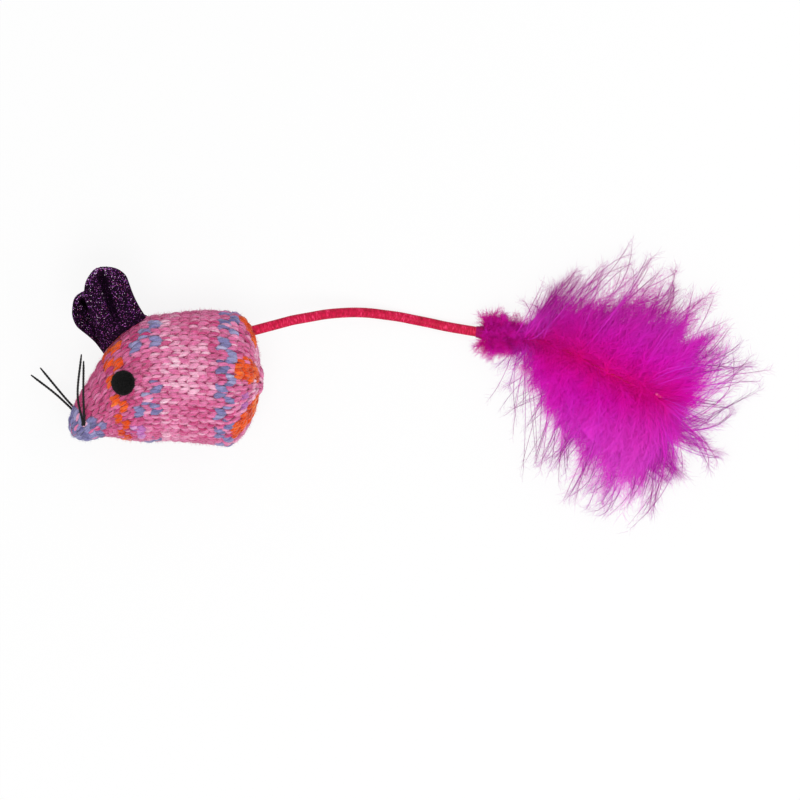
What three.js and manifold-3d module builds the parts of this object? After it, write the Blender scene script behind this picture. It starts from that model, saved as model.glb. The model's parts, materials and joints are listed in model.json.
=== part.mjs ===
// Catnip mouse: a knitted, stuffed mouse with glitter fabric ears, waxed thread whiskers, a satin
// cord tail and a plume of two marabou feathers. It lies on its right flank, as laid on a table.
// Millimetres, +Z up. The nose points to -X, the back to +Y and the left flank faces up.
// The origin is on the flat patch of the right flank that rests on the table.

import * as THREE from 'three';
import { mergeVertices } from 'three/addons/utils/BufferGeometryUtils.js';
import ManifoldModule from 'manifold-3d';

const wasm = await ManifoldModule();
wasm.setup();

// Gap between pieces that touch
const clearance = 0.3;

// Knitted cover: each ring runs from a point on the back to a point on the belly
const coverRings = [
  { back: [-32.7, -10.0], belly: [-25.0, -18.3], depth: 6.0 },
  { back: [-30.7, -4.7], belly: [-21.7, -17.3], depth: 8.6 },
  { back: [-25.7, 3.4], belly: [-18.3, -17.5], depth: 11.8 },
  { back: [-19.0, 13.8], belly: [-14.0, -18.3], depth: 15.0 },
  { back: [-10.3, 22.0], belly: [-8.0, -19.0], depth: 17.6 },
  { back: [0.0, 24.0], belly: [0.0, -18.8], depth: 19.0 },
  { back: [12.3, 25.2], belly: [11.7, -19.8], depth: 19.2 },
  { back: [21.3, 24.5], belly: [18.7, -20.5], depth: 17.8 },
];
const coverWall = 1.6;
const sectionPower = 2.25;
const noseCapLength = 4.0;
const noseCapAngle = THREE.MathUtils.degToRad(57);
const rumpCapLength = 10.9;
const rumpCapAngle = THREE.MathUtils.degToRad(90);
const restCutDepth = 0.5;

// Gathered mouth at the rump and the yarn that closes it
const mouthRadius = 2.6;
const gatherHeadRadius = 3.8;
const gatherHeadHeight = 1.3;

// Fill
const sachetSize = new THREE.Vector3(26, 20, 12);
const sachetPlace = new THREE.Vector2(3, 1);

// Felt eyes
const eyeRadius = 4.0;
const eyeThickness = 1.2;
const eyePlace = new THREE.Vector2(-14.7, 0.7);

// Glitter fabric ears
const earLength = 25;
const earHalfWidth = 7.9;
const earThickness = 1.4;
const earCup = 2.6;
const earPleatDepth = 2.4;
const earPleatWidth = 2.6;
const earSeatPlace = new THREE.Vector2(-15.0, 17.0);
const ears = {
  left: { side: 1, heading: 109, lean: 24, curl: 1.5 },
  right: { side: -1, heading: 141, lean: 40, curl: 1.0 },
};

// Waxed thread whiskers: where each strand bends and ends, measured from the pair's root
const whiskerDiameter = 0.8;
const whiskerPlace = new THREE.Vector2(-28.0, -12.0);
const whiskers = {
  left_whisker_front: { side: 1, start: -0.5, bend: [-0.9, 8.6, 4.6], tip: [-0.2, 22.4, 7.0] },
  left_whisker_rear: { side: 1, start: 0.5, bend: [-0.6, 8.6, 4.6], tip: [-0.5, 20.2, 5.6] },
  right_whisker_front: { side: -1, start: -0.5, bend: [-7.6, 8.0, -2.6], tip: [-17.3, 15.6, -4.6] },
  right_whisker_rear: { side: -1, start: 0.5, bend: [-7.4, 8.6, -2.4], tip: [-15.2, 18.0, -4.2] },
};

// Satin cord tail: leaves the rump, comes down to the table and runs along it to the plume
const cordDiameter = 3.2;
const tailExitHeight = 18.0;
const tailStandOff = 0.8;
const tailKnotRadius = 3.2;
const tailRootLength = 9.0;
const tailRootHeading = 15;
const tailRootDroop = 12;
const cordRoute = [
  [47.3, 22.7, 14.2],
  [52.3, 23.6, 11.9],
  [57.3, 24.1, 9.4],
  [62.3, 24.3, 6.9],
  [67.3, 24.1, 4.7],
  [72.3, 23.5, 3.0],
  [77.3, 22.8, 2.0],
  [82.3, 21.8, 1.7],
  [87.3, 20.8, 1.7],
  [92.3, 19.7, 1.9],
  [97.3, 18.8, 2.5],
  [101.5, 18.1, 3.2],
];
const cordSteps = 24;

// Plume: two marabou feathers whipped to the cord's end with thread
const plumeHeading = -9;
const bindingRadius = 2.3;
const bindingLength = 9.0;
const tuftRadius = 6.2;
const tuftLength = 11.0;
const tuftLobes = 9;
const tuftLobeDepth = 0.9;
const quillDiameter = 1.2;
const quillSpread = 0.9;

// Quill routes: x, y and, for the top feather, depth below the top of the down or, for the under
// feather, height above the table
const topQuillRoute = [[126, 14.0, 9.0], [139, 8.4, 5.0], [152, 1.6, 3.7], [165, -4.5, 4.3]];
const underQuillRoute = [[126, 12.6, 4.4], [139, 4.6, 5.4], [152, -6.5, 6.0], [163, -17.5, 6.0]];

// Down of the feathers: a swollen core with blunt corners, and pointed locks round its rim
const downCentre = new THREE.Vector2(150.0, -0.5);
const coreRadius = 28.5;
const coreLobes = [
  { count: 1, depth: 1.5, heading: 60 },
  { count: 2, depth: 1.5, heading: 90 },
  { count: 3, depth: 2.5, heading: 37 },
];
const neckReach = 10.0;
const neckHeading = 157;
const neckPower = 8;
const downHeight = 18.5;
const downRimHeight = 5.0;
const downSplitHeight = 9.5;
const roofPower = 0.75;
const bellyPower = 0.5;
const lockCount = 17;
const lockReach = 14.0;
const lockPower = 1.5;
const lockSway = { count: 3, depth: 0.8 };
const shortLockHeading = 195;
const shortLockShare = 0.5;

const up = new THREE.Vector3(0, 0, 1);
const vector = (x, y, z = 0) => new THREE.Vector3(x, y, z);
const radians = THREE.MathUtils.degToRad;

// A direction from its heading in plan and its climb, both in degrees
function direction(heading, climb = 0) {
  const level = Math.cos(radians(climb));
  const x = level * Math.cos(radians(heading));
  const y = level * Math.sin(radians(heading));
  return vector(x, y, Math.sin(radians(climb)));
}

// Solids and geometries

// One closed body, with its points joined and its collapsed triangles left out
function closedGeometry(points, triangles) {
  const raw = new THREE.BufferGeometry();
  const coordinates = points.flatMap((point) => [point.x, point.y, point.z]);
  raw.setAttribute('position', new THREE.Float32BufferAttribute(coordinates, 3));
  raw.setIndex(triangles);
  const merged = mergeVertices(raw, 1e-4);
  const corners = merged.index.array;
  const kept = [];
  for (let i = 0; i < corners.length; i += 3) {
    const [a, b, c] = corners.slice(i, i + 3);
    if (a !== b && b !== c && c !== a) kept.push(a, b, c);
  }
  merged.setIndex(kept);
  return merged;
}

// Skin over a row of rings with the same number of points. A pole closes an open end.
function loft(rings, startPole, endPole) {
  const count = rings[0].length;
  const points = rings.flat();
  const triangles = [];
  for (let row = 0; row + 1 < rings.length; row += 1) {
    for (let i = 0; i < count; i += 1) {
      const a = row * count + i;
      const b = row * count + (i + 1) % count;
      triangles.push(a, b, b + count, a, b + count, a + count);
    }
  }
  if (startPole) {
    points.push(startPole);
    for (let i = 0; i < count; i += 1) triangles.push(points.length - 1, (i + 1) % count, i);
  }
  if (endPole) {
    points.push(endPole);
    const first = (rings.length - 1) * count;
    for (let i = 0; i < count; i += 1) triangles.push(points.length - 1, first + i, first + (i + 1) % count);
  }
  return closedGeometry(points, triangles);
}

function toSolid(geometry) {
  const bare = geometry.clone();
  bare.deleteAttribute('normal');
  bare.deleteAttribute('uv');
  const merged = mergeVertices(bare, 1e-4);
  const vertProperties = Float32Array.from(merged.attributes.position.array);
  const triVerts = Uint32Array.from(merged.index.array);
  return new wasm.Manifold(new wasm.Mesh({ numProp: 3, vertProperties, triVerts }));
}

function toGeometry(solid) {
  const mesh = solid.getMesh();
  const geometry = new THREE.BufferGeometry();
  geometry.setAttribute('position', new THREE.Float32BufferAttribute(mesh.vertProperties, 3));
  geometry.setIndex(Array.from(mesh.triVerts));
  return geometry;
}

function box(low, high) {
  const size = high.clone().sub(low);
  const geometry = new THREE.BoxGeometry(size.x, size.y, size.z);
  geometry.translate((low.x + high.x) / 2, (low.y + high.y) / 2, (low.z + high.z) / 2);
  return toSolid(geometry);
}

// Turned piece: profile points are [radius, distance along the axis] and start and end on the axis
function turned(profile, origin, axis, segments = 16) {
  const outline = profile.map(([radius, along]) => new THREE.Vector2(radius, along));
  const geometry = new THREE.LatheGeometry(outline, segments);
  const turn = new THREE.Quaternion().setFromUnitVectors(vector(0, 1), axis);
  geometry.applyQuaternion(turn);
  geometry.translate(origin.x, origin.y, origin.z);
  return geometry;
}

// Quarter round from the side of a turned piece to its tip, as profile points
function domeProfile(radius, from, height, steps = 4) {
  const points = [];
  for (let i = 0; i <= steps; i += 1) {
    const angle = (i / steps) * (Math.PI / 2);
    points.push([i === steps ? 0 : radius * Math.cos(angle), from + height * Math.sin(angle)]);
  }
  return points;
}

// Round tube along a curve
function tube(curve, diameter, steps, sides) {
  const section = new THREE.Shape();
  for (let i = 0; i < sides; i += 1) {
    const angle = (i / sides) * 2 * Math.PI;
    const x = (diameter / 2) * Math.cos(angle);
    const y = (diameter / 2) * Math.sin(angle);
    if (i === 0) section.moveTo(x, y);
    else section.lineTo(x, y);
  }
  section.closePath();
  return new THREE.ExtrudeGeometry(section, { steps, bevelEnabled: false, extrudePath: curve });
}

// Knitted cover

const maxDepth = Math.max(...coverRings.map((ring) => ring.depth));
const midHeight = maxDepth - restCutDepth;
const backCurve = new THREE.CatmullRomCurve3(coverRings.map((ring) => vector(...ring.back, ring.depth)));
const bellyCurve = new THREE.CatmullRomCurve3(coverRings.map((ring) => vector(...ring.belly)));

// Share of a cap ring's size and its distance past the cap's foot, from the pole (0) to the foot (1)
function capShape(share, angle, length) {
  const at = share * angle;
  const size = Math.sin(at) / Math.sin(angle);
  const past = length * (1 - (1 - Math.cos(at)) / (1 - Math.cos(angle)));
  return { size, past };
}

// Ring of the cover: 0 is the nose's pole, 1 to 2 the rings above, 3 the rump's pole
function coverRing(station) {
  const back = backCurve.getPoint(THREE.MathUtils.clamp(station - 1, 0, 1));
  const belly = bellyCurve.getPoint(THREE.MathUtils.clamp(station - 1, 0, 1));
  const centre = vector((back.x + belly.x) / 2, (back.y + belly.y) / 2, midHeight);
  const rise = vector(back.x - belly.x, back.y - belly.y);
  const height = rise.length() / 2;
  rise.normalize();
  const forward = vector(rise.y, -rise.x);
  const ring = { centre, rise, forward, height, depth: back.z };
  if (station >= 1 && station <= 2) return ring;
  const nose = station < 1;
  const cap = nose
    ? capShape(station, noseCapAngle, noseCapLength)
    : capShape(3 - station, rumpCapAngle, rumpCapLength);
  ring.height *= cap.size;
  ring.depth *= cap.size;
  ring.centre.addScaledVector(forward, nose ? -cap.past : cap.past);
  return ring;
}

const rounded = (value) => Math.sign(value) * Math.abs(value) ** (2 / sectionPower);

// Point of the cover's outer face. Angle 0 is on the back and 90 degrees on the left flank.
function coverPoint(station, angle) {
  const ring = coverRing(station);
  const point = ring.centre.clone();
  point.addScaledVector(ring.rise, ring.height * rounded(Math.cos(angle)));
  point.addScaledVector(up, ring.depth * rounded(Math.sin(angle)));
  return point;
}

function coverNormal(station, angle) {
  const step = 0.01;
  const at = THREE.MathUtils.clamp(station, 2 * step, 3 - 2 * step);
  const around = coverPoint(at, angle + step).sub(coverPoint(at, angle - step));
  const along = coverPoint(at + step, angle).sub(coverPoint(at - step, angle));
  return along.cross(around).negate().normalize();
}

// Ring of points at a depth below the outer face
function coverLoop(station, inset, segments) {
  const points = [];
  for (let i = 0; i < segments; i += 1) {
    const angle = (i / segments) * 2 * Math.PI;
    const normal = coverNormal(station, angle);
    points.push(coverPoint(station, angle).addScaledVector(normal, -inset));
  }
  return points;
}

function coverPole(station, inset) {
  const ring = coverRing(station);
  return ring.centre.clone().addScaledVector(ring.forward, station < 1 ? inset : -inset);
}

// Station and angle of the cover's face over a place in plan, on the left (1) or right (-1) flank
function coverPlace(place, side) {
  let low = 0;
  let high = 3;
  for (let i = 0; i < 40; i += 1) {
    const middle = (low + high) / 2;
    const ring = coverRing(middle);
    const ahead = vector(place.x, place.y, midHeight).sub(ring.centre).dot(ring.forward);
    if (ahead > 0) low = middle;
    else high = middle;
  }
  const ring = coverRing(low);
  const offset = vector(place.x, place.y, midHeight).sub(ring.centre).dot(ring.rise) / ring.height;
  const share = THREE.MathUtils.clamp(offset, -1, 1);
  const angle = side * Math.acos(Math.sign(share) * Math.abs(share) ** (sectionPower / 2));
  return { station: low, angle, point: coverPoint(low, angle), normal: coverNormal(low, angle) };
}

const lastRing = coverRing(2);
const mouthShare = Math.asin((mouthRadius / lastRing.height) * Math.sin(rumpCapAngle)) / rumpCapAngle;
const mouthStation = 3 - mouthShare;
const rumpPole = coverPole(3, 0);
const rumpAxis = lastRing.forward;

function evenSteps(from, to, count) {
  return Array.from({ length: count }, (_, i) => from + ((to - from) * i) / (count - 1));
}

// Stations for the outer face and, coarser, for the inner face and the fill
const outerStations = [
  0.25, 0.5, 0.75, ...evenSteps(1, 2, 13), ...evenSteps(2.2, mouthStation, 6),
];
const innerStations = [0.4, ...evenSteps(1, 2, 8), ...evenSteps(2.35, mouthStation, 3)];
const coverSegments = 32;

// Tail exit through the back of the rump
function tailExit() {
  let low = 2;
  let high = 3;
  for (let i = 0; i < 40; i += 1) {
    const middle = (low + high) / 2;
    if (coverPoint(middle, 0).y > tailExitHeight) low = middle;
    else high = middle;
  }
  return { point: coverPoint(low, 0), normal: coverNormal(low, 0) };
}

const exit = tailExit();
const cordRadius = cordDiameter / 2;
const ballGap = cordRadius + clearance;
const tailPivot = exit.point.clone().addScaledVector(exit.normal, tailStandOff);
const knotDepth = tailStandOff + coverWall + clearance + tailKnotRadius;
const floorReach = 400;

function belowFloor() {
  return box(vector(-floorReach, -floorReach, -floorReach), vector(floorReach, floorReach, 0));
}

function knitBody() {
  const outer = outerStations.map((station) => coverLoop(station, 0, coverSegments));
  const inner = innerStations.map((station) => coverLoop(station, coverWall, coverSegments)).reverse();
  const shell = toSolid(loft([...outer, ...inner], coverPole(0, 0), coverPole(0, coverWall)));
  const boreRadius = cordRadius + clearance;
  const boreEnd = coverWall * 2;
  const boreProfile = [[0, -boreEnd], [boreRadius, -boreEnd], [boreRadius, boreEnd], [0, boreEnd]];
  const bore = toSolid(turned(boreProfile, exit.point, exit.normal, 12));
  return toGeometry(shell.subtract(belowFloor()).subtract(bore));
}

function closingGather() {
  const bore = coverLoop(mouthStation, coverWall, coverSegments);
  const reach = bore.map((point) => {
    const offset = point.clone().sub(rumpPole);
    return offset.addScaledVector(rumpAxis, -offset.dot(rumpAxis)).length();
  });
  const stem = Math.min(...reach) - clearance;
  const profile = [[0, -coverWall], [stem, -coverWall], [stem, clearance], [gatherHeadRadius, clearance]];
  const head = domeProfile(gatherHeadRadius, clearance + gatherHeadHeight / 2, gatherHeadHeight / 2);
  return turned([...profile, ...head], rumpPole, rumpAxis);
}

// Fill: two wads that meet at the sachet

const sachetCentre = vector(sachetPlace.x, sachetPlace.y, midHeight);
const pillowPower = 3;

// Pillow shaped sachet, grown on all sides by a margin
function pillow(margin) {
  const soften = (value) => Math.sign(value) * Math.abs(value) ** (2 / pillowPower);
  const half = sachetSize.clone().multiplyScalar(0.5).addScalar(margin);
  const rows = 8;
  const segments = 16;
  const loops = [];
  for (let row = 1; row < rows; row += 1) {
    const tilt = -Math.PI / 2 + (row / rows) * Math.PI;
    const loop = [];
    for (let i = 0; i < segments; i += 1) {
      const angle = (i / segments) * 2 * Math.PI;
      const wide = soften(Math.cos(tilt));
      const x = half.x * wide * soften(Math.cos(angle));
      const y = half.y * wide * soften(Math.sin(angle));
      loop.push(vector(x, y, half.z * Math.sin(tilt)).add(sachetCentre));
    }
    loops.push(loop);
  }
  const bottom = sachetCentre.clone().addScaledVector(up, -half.z);
  const top = sachetCentre.clone().addScaledVector(up, half.z);
  return loft(loops, bottom, top);
}

function knot(margin) {
  const centre = tailPivot.clone().addScaledVector(exit.normal, -knotDepth);
  const sphere = new THREE.SphereGeometry(tailKnotRadius + margin, 14, 10);
  sphere.translate(centre.x, centre.y, centre.z);
  return toSolid(sphere);
}

function stuffing(front) {
  const inset = coverWall + clearance;
  const loops = innerStations.map((station) => coverLoop(station, inset, 18));
  const fill = toSolid(loft(loops, coverPole(0, inset), coverPole(3, inset)));
  const split = sachetCentre.x + (front ? -clearance / 2 : clearance / 2);
  const cut = front
    ? box(vector(split, -floorReach, -floorReach), vector(floorReach, floorReach, floorReach))
    : box(vector(-floorReach, -floorReach, -floorReach), vector(split, floorReach, floorReach));
  const wad = fill.subtract(cut).subtract(toSolid(pillow(clearance)));
  return toGeometry(front ? wad : wad.subtract(knot(clearance)));
}

// Eyes

function eye(side) {
  const seat = coverPlace(eyePlace, side);
  const rim = eyeThickness / 2;
  const profile = [[0, clearance], [eyeRadius, clearance], ...domeProfile(eyeRadius, clearance + rim, rim)];
  return turned(profile, seat.point, seat.normal, 20);
}

// Ears: a petal of fabric with a pleat, standing on a straight sewn base

function earFrame({ side, heading, lean }) {
  const seat = coverPlace(earSeatPlace, side);
  const step = 0.01;
  const ahead = coverPoint(seat.station + step, seat.angle);
  const axis = ahead.sub(coverPoint(seat.station - step, seat.angle)).normalize();
  const along = direction(heading, lean);
  const face = axis.clone().cross(along).normalize();
  const across = along.clone().cross(face).normalize();
  const origin = seat.point.clone().addScaledVector(seat.normal, earThickness / 2 + clearance);
  const slant = axis.dot(along) / axis.dot(across);
  return { origin, axis, along, across, face, slant };
}

function earGeometry(ear) {
  const frame = earFrame(ear);
  const rows = 10;
  const columns = 12;
  const place = (x, y, z) => frame.origin.clone()
    .addScaledVector(frame.across, x)
    .addScaledVector(frame.along, y)
    .addScaledVector(frame.face, z);
  const loops = [];
  const hem = Array.from({ length: columns + 1 }, (_, i) => earHalfWidth * (2 * i / columns - 1));
  const hemLoop = hem.map((x) => place(x, frame.slant * x - earThickness / 2, 0));
  loops.push([...hemLoop, ...[...hemLoop].reverse()]);
  const shoulder = earLength - earHalfWidth;
  const straightRows = 5;
  for (let row = 0; row <= rows; row += 1) {
    const bow = (Math.max(0, row - straightRows) / (rows - straightRows)) * (Math.PI / 2);
    const curved = shoulder + earHalfWidth * Math.sin(bow);
    const height = row < straightRows ? (row / straightRows) * shoulder : curved;
    const width = row === rows ? 0 : earHalfWidth * Math.cos(bow);
    const rise = height / earLength;
    const form = THREE.MathUtils.smoothstep(rise, 0, 0.4);
    const front = [];
    const rear = [];
    for (let i = 0; i <= columns; i += 1) {
      const x = width * (2 * i / columns - 1);
      const y = frame.slant * x * (1 - rise) + height;
      const cup = earCup * (x / earHalfWidth) ** 2;
      const pleat = earPleatDepth * Math.exp(-((x / earPleatWidth) ** 2));
      const z = form * (cup - pleat) + ear.curl * rise * rise;
      front.push(place(x, y, z + earThickness / 2));
      rear.push(place(x, y, z - earThickness / 2));
    }
    loops.push([...front, ...rear.reverse()]);
  }
  return loft(loops);
}

// Whiskers

const whiskerSeats = {
  left: coverPlace(whiskerPlace, 1),
  right: coverPlace(whiskerPlace, -1),
};

function whiskerRoot(side) {
  const seat = side > 0 ? whiskerSeats.left : whiskerSeats.right;
  return seat.point.clone().addScaledVector(seat.normal, whiskerDiameter / 2 + clearance);
}

function whisker({ side, start, bend, tip }) {
  const root = whiskerRoot(side).add(vector(start, 0, 0));
  const route = [root, root.clone().add(vector(...bend)), root.clone().add(vector(...tip))];
  return tube(new THREE.CatmullRomCurve3(route), whiskerDiameter, 8, 6);
}

// Tail

const rootDirection = direction(tailRootHeading, -tailRootDroop);
const liftPivot = tailPivot.clone().addScaledVector(rootDirection, ballGap + tailRootLength);
const cordStart = liftPivot.clone().addScaledVector(rootDirection, ballGap);
const cordCurve = new THREE.CatmullRomCurve3([cordStart, ...cordRoute.map((point) => vector(...point))]);
const plumeDirection = direction(plumeHeading);
const plumePivot = cordCurve.getPoint(1).addScaledVector(cordCurve.getTangent(1), ballGap);

function tailAnchor() {
  const knotLow = -knotDepth - tailKnotRadius;
  const profile = [[0, knotLow]];
  const steps = 8;
  for (let i = 1; i < steps; i += 1) {
    const angle = (i / steps) * Math.PI;
    const radius = tailKnotRadius * Math.sin(angle);
    if (i > steps / 2 && radius < cordRadius) break;
    profile.push([radius, -knotDepth - tailKnotRadius * Math.cos(angle)]);
  }
  const neck = -knotDepth + Math.sqrt(Math.max(0, tailKnotRadius ** 2 - cordRadius ** 2));
  profile.push([cordRadius, neck], ...domeProfile(cordRadius, 0, cordRadius));
  return turned(profile, tailPivot, exit.normal, 12);
}

function tailRoot() {
  const end = ballGap + tailRootLength;
  const profile = [[0, ballGap], [cordRadius, ballGap], ...domeProfile(cordRadius, end, cordRadius)];
  return turned(profile, tailPivot, rootDirection, 12);
}

// Plume

const bindingEnd = cordRadius + bindingLength;

function plumeBinding() {
  const flare = bindingRadius - cordRadius;
  const start = domeProfile(cordRadius, 0, -cordRadius).reverse();
  const wrap = [[bindingRadius, cordRadius + flare], [bindingRadius, bindingEnd], [0, bindingEnd]];
  return turned([...start, ...wrap], plumePivot, plumeDirection, 14);
}

function quillCurve(points, lift) {
  const start = plumePivot.clone().addScaledVector(plumeDirection, bindingEnd + clearance);
  start.addScaledVector(up, lift);
  return new THREE.CatmullRomCurve3([start, ...points]);
}

const topQuillPoints = topQuillRoute.map(([x, y, below]) => vector(x, y, downHeight - below));
const underQuillPoints = underQuillRoute.map(([x, y, height]) => vector(x, y, height));
const topQuillCurve = quillCurve(topQuillPoints, quillSpread);
const underQuillCurve = quillCurve(underQuillPoints, -quillSpread);

function quill(curve, diameter) {
  return tube(curve, diameter, 9, 6);
}

// Space that the quills take in the down, open at the binding
function quillChannels() {
  const bore = quillDiameter + 2 * clearance;
  return toSolid(quill(topQuillCurve, bore)).add(toSolid(quill(underQuillCurve, bore)));
}

// Short fluff round the binding, ragged on the outside and flat where it lies on the table
function plumeTuft() {
  const side = vector(-plumeDirection.y, plumeDirection.x);
  const from = cordRadius + clearance;
  const rows = 8;
  const segments = 36;
  const loops = [];
  for (let row = 1; row < rows; row += 1) {
    const angle = (row / rows) * Math.PI;
    const along = from + (tuftLength / 2) * (1 - Math.cos(angle));
    const loop = [];
    for (let i = 0; i < segments; i += 1) {
      const turn = (i / segments) * 2 * Math.PI;
      const radius = Math.sin(angle) ** 0.6 * (tuftRadius + tuftLobeDepth * Math.cos(tuftLobes * turn));
      const point = plumePivot.clone().addScaledVector(plumeDirection, along);
      point.addScaledVector(side, radius * Math.cos(turn));
      loop.push(point.addScaledVector(up, radius * Math.sin(turn)));
    }
    loops.push(loop);
  }
  const near = plumePivot.clone().addScaledVector(plumeDirection, from);
  const far = near.clone().addScaledVector(plumeDirection, tuftLength);
  const fluff = toSolid(loft(loops, near, far));
  const boreRadius = bindingRadius + clearance;
  const boreEnd = bindingEnd + tuftLength;
  const boreProfile = [[0, 0], [boreRadius, 0], [boreRadius, boreEnd], [0, boreEnd]];
  const bore = toSolid(turned(boreProfile, plumePivot, plumeDirection, 14));
  return fluff.subtract(bore).subtract(belowFloor());
}

// Distance from the middle of the down to the edge of its core, drawn out to the binding
function coreReach(angle) {
  const toNeck = Math.max(0, Math.cos(angle - radians(neckHeading)));
  let reach = coreRadius + neckReach * toNeck ** neckPower;
  for (const { count, depth, heading } of coreLobes) {
    reach += depth * Math.cos(count * (angle - radians(heading)));
  }
  return reach;
}

// How far the locks stand out of the core: pointed, unevenly spaced and short on one side
function lockLength(angle) {
  const wave = Math.cos(lockCount * angle + lockSway.depth * Math.sin(lockSway.count * angle));
  const away = (1 - Math.cos(angle - radians(shortLockHeading))) / 2;
  const reach = lockReach * (shortLockShare + (1 - shortLockShare) * away);
  return reach * ((1 + wave) / 2) ** lockPower;
}

// Down of both feathers: swollen in the middle, thin at the locks and flat on the table
function downCloud() {
  const segments = 6 * lockCount;
  const tilts = [...evenSteps(-60, 0, 3), ...evenSteps(15, 75, 5)].map(radians);
  const loops = tilts.map((tilt) => {
    const rise = Math.sin(tilt);
    const swell = Math.cos(tilt) ** (rise < 0 ? bellyPower : roofPower);
    const span = rise < 0 ? downRimHeight + restCutDepth : downHeight - downRimHeight;
    const loop = [];
    for (let i = 0; i < segments; i += 1) {
      const angle = (i / segments) * 2 * Math.PI;
      const reach = swell * coreReach(angle) + (1 - Math.abs(rise)) ** 2 * lockLength(angle);
      const x = downCentre.x + reach * Math.cos(angle);
      const y = downCentre.y + reach * Math.sin(angle);
      loop.push(vector(x, y, downRimHeight + span * rise));
    }
    return loop;
  });
  const bottom = vector(downCentre.x, downCentre.y, -restCutDepth);
  const top = vector(downCentre.x, downCentre.y, downHeight);
  return toSolid(loft(loops, bottom, top)).subtract(belowFloor()).subtract(quillChannels());
}

const tuftSolid = plumeTuft();
const cloudSolid = downCloud();

// Room for the tuft in the down
function tuftRoom() {
  const radius = tuftRadius + tuftLobeDepth + clearance;
  const end = cordRadius + tuftLength + 2 * clearance;
  const profile = [[0, -floorReach], [radius, -floorReach], [radius, end], [0, end]];
  return toSolid(turned(profile, plumePivot, plumeDirection, 24));
}

function down(top) {
  const split = downSplitHeight + (top ? clearance / 2 : -clearance / 2);
  const cut = top
    ? box(vector(-floorReach, -floorReach, -floorReach), vector(floorReach, floorReach, split))
    : box(vector(-floorReach, -floorReach, split), vector(floorReach, floorReach, floorReach));
  return toGeometry(cloudSolid.subtract(cut).subtract(tuftRoom()));
}

// Assembly

function finish(color, roughness) {
  return new THREE.MeshStandardMaterial({ color, roughness, metalness: 0 });
}

const knitYarn = finish(0xd9709f, 0.95);
const fillFibre = finish(0xf2f0ea, 1.0);
const sachetCloth = finish(0xb9c29a, 0.9);
const felt = finish(0x101214, 1.0);
const glitterFabric = finish(0x2a0d33, 0.55);
const waxedThread = finish(0x121212, 0.6);
const satinCord = finish(0xc81450, 0.4);
const whipping = finish(0xa00858, 0.7);
const quillHorn = finish(0x9a0f4e, 0.45);
const marabou = finish(0xc0169c, 0.9);

const mouse = new THREE.Group();

function addPiece(name, geometry, material) {
  const mesh = new THREE.Mesh(geometry, material);
  mesh.name = name;
  mouse.add(mesh);
}

addPiece('knit_body', knitBody(), knitYarn);
addPiece('closing_gather', closingGather(), knitYarn);
addPiece('stuffing_front', stuffing(true), fillFibre);
addPiece('stuffing_rear', stuffing(false), fillFibre);
addPiece('catnip_sachet', pillow(0), sachetCloth);
addPiece('left_eye', eye(1), felt);
addPiece('right_eye', eye(-1), felt);
for (const [side, ear] of Object.entries(ears)) {
  addPiece(`${side}_ear`, earGeometry(ear), glitterFabric);
}
for (const [name, strand] of Object.entries(whiskers)) {
  addPiece(name, whisker(strand), waxedThread);
}
addPiece('tail_anchor', tailAnchor(), satinCord);
addPiece('tail_root', tailRoot(), satinCord);
addPiece('tail_cord', tube(cordCurve, cordDiameter, cordSteps, 8), satinCord);
addPiece('plume_binding', plumeBinding(), whipping);
addPiece('plume_tuft', toGeometry(tuftSolid), marabou);
addPiece('top_quill', quill(topQuillCurve, quillDiameter), quillHorn);
addPiece('under_quill', quill(underQuillCurve, quillDiameter), quillHorn);
addPiece('top_down', down(true), marabou);
addPiece('under_down', down(false), marabou);

// Where the moving pieces turn
mouse.userData.pivots = {
  left_ear: { point: earFrame(ears.left).origin, axis: earFrame(ears.left).axis },
  right_ear: { point: earFrame(ears.right).origin, axis: earFrame(ears.right).axis },
  left_whiskers: { point: whiskerRoot(1), axis: up },
  right_whiskers: { point: whiskerRoot(-1), axis: up },
  tail_root: { point: tailPivot, axis: up },
  tail: { point: liftPivot, axis: rootDirection.clone().cross(up).normalize() },
  plume: { point: plumePivot, axis: up },
};

export default mouse;
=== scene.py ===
# Catnip mouse: the finished look of a knitted mouse with a cord tail and a marabou plume.
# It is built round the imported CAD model, in the same frame: nose to -X, back to +Y, left flank up.
# Sizes and places are in millimetres, and MM turns them into Blender's metres.

import json
import math

import bpy
import numpy as np
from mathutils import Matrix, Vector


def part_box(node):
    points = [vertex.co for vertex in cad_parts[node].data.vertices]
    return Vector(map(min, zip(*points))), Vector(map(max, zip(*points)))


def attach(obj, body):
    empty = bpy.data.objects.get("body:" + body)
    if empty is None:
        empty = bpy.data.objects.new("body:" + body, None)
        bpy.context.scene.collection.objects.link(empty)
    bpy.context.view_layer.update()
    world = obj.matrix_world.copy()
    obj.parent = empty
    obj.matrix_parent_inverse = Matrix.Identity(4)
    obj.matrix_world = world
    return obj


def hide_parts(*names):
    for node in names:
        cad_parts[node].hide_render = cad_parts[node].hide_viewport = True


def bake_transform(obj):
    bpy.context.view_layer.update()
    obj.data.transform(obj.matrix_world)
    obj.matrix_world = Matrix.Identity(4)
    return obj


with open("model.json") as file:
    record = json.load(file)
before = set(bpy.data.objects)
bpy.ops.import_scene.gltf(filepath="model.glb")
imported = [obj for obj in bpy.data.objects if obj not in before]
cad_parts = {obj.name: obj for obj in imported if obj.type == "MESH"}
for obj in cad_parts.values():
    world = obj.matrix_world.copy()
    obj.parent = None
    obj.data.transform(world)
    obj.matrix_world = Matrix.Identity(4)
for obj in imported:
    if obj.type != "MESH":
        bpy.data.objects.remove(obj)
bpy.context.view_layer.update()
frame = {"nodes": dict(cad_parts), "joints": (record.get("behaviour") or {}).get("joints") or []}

MM = 0.001
UP = np.array([0.0, 0.0, 1.0])
TABLE = 0.05
CURVE_STEPS = 600
DRIFT_VALUES = 512
CELL_MARGIN = 0.06
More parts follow.
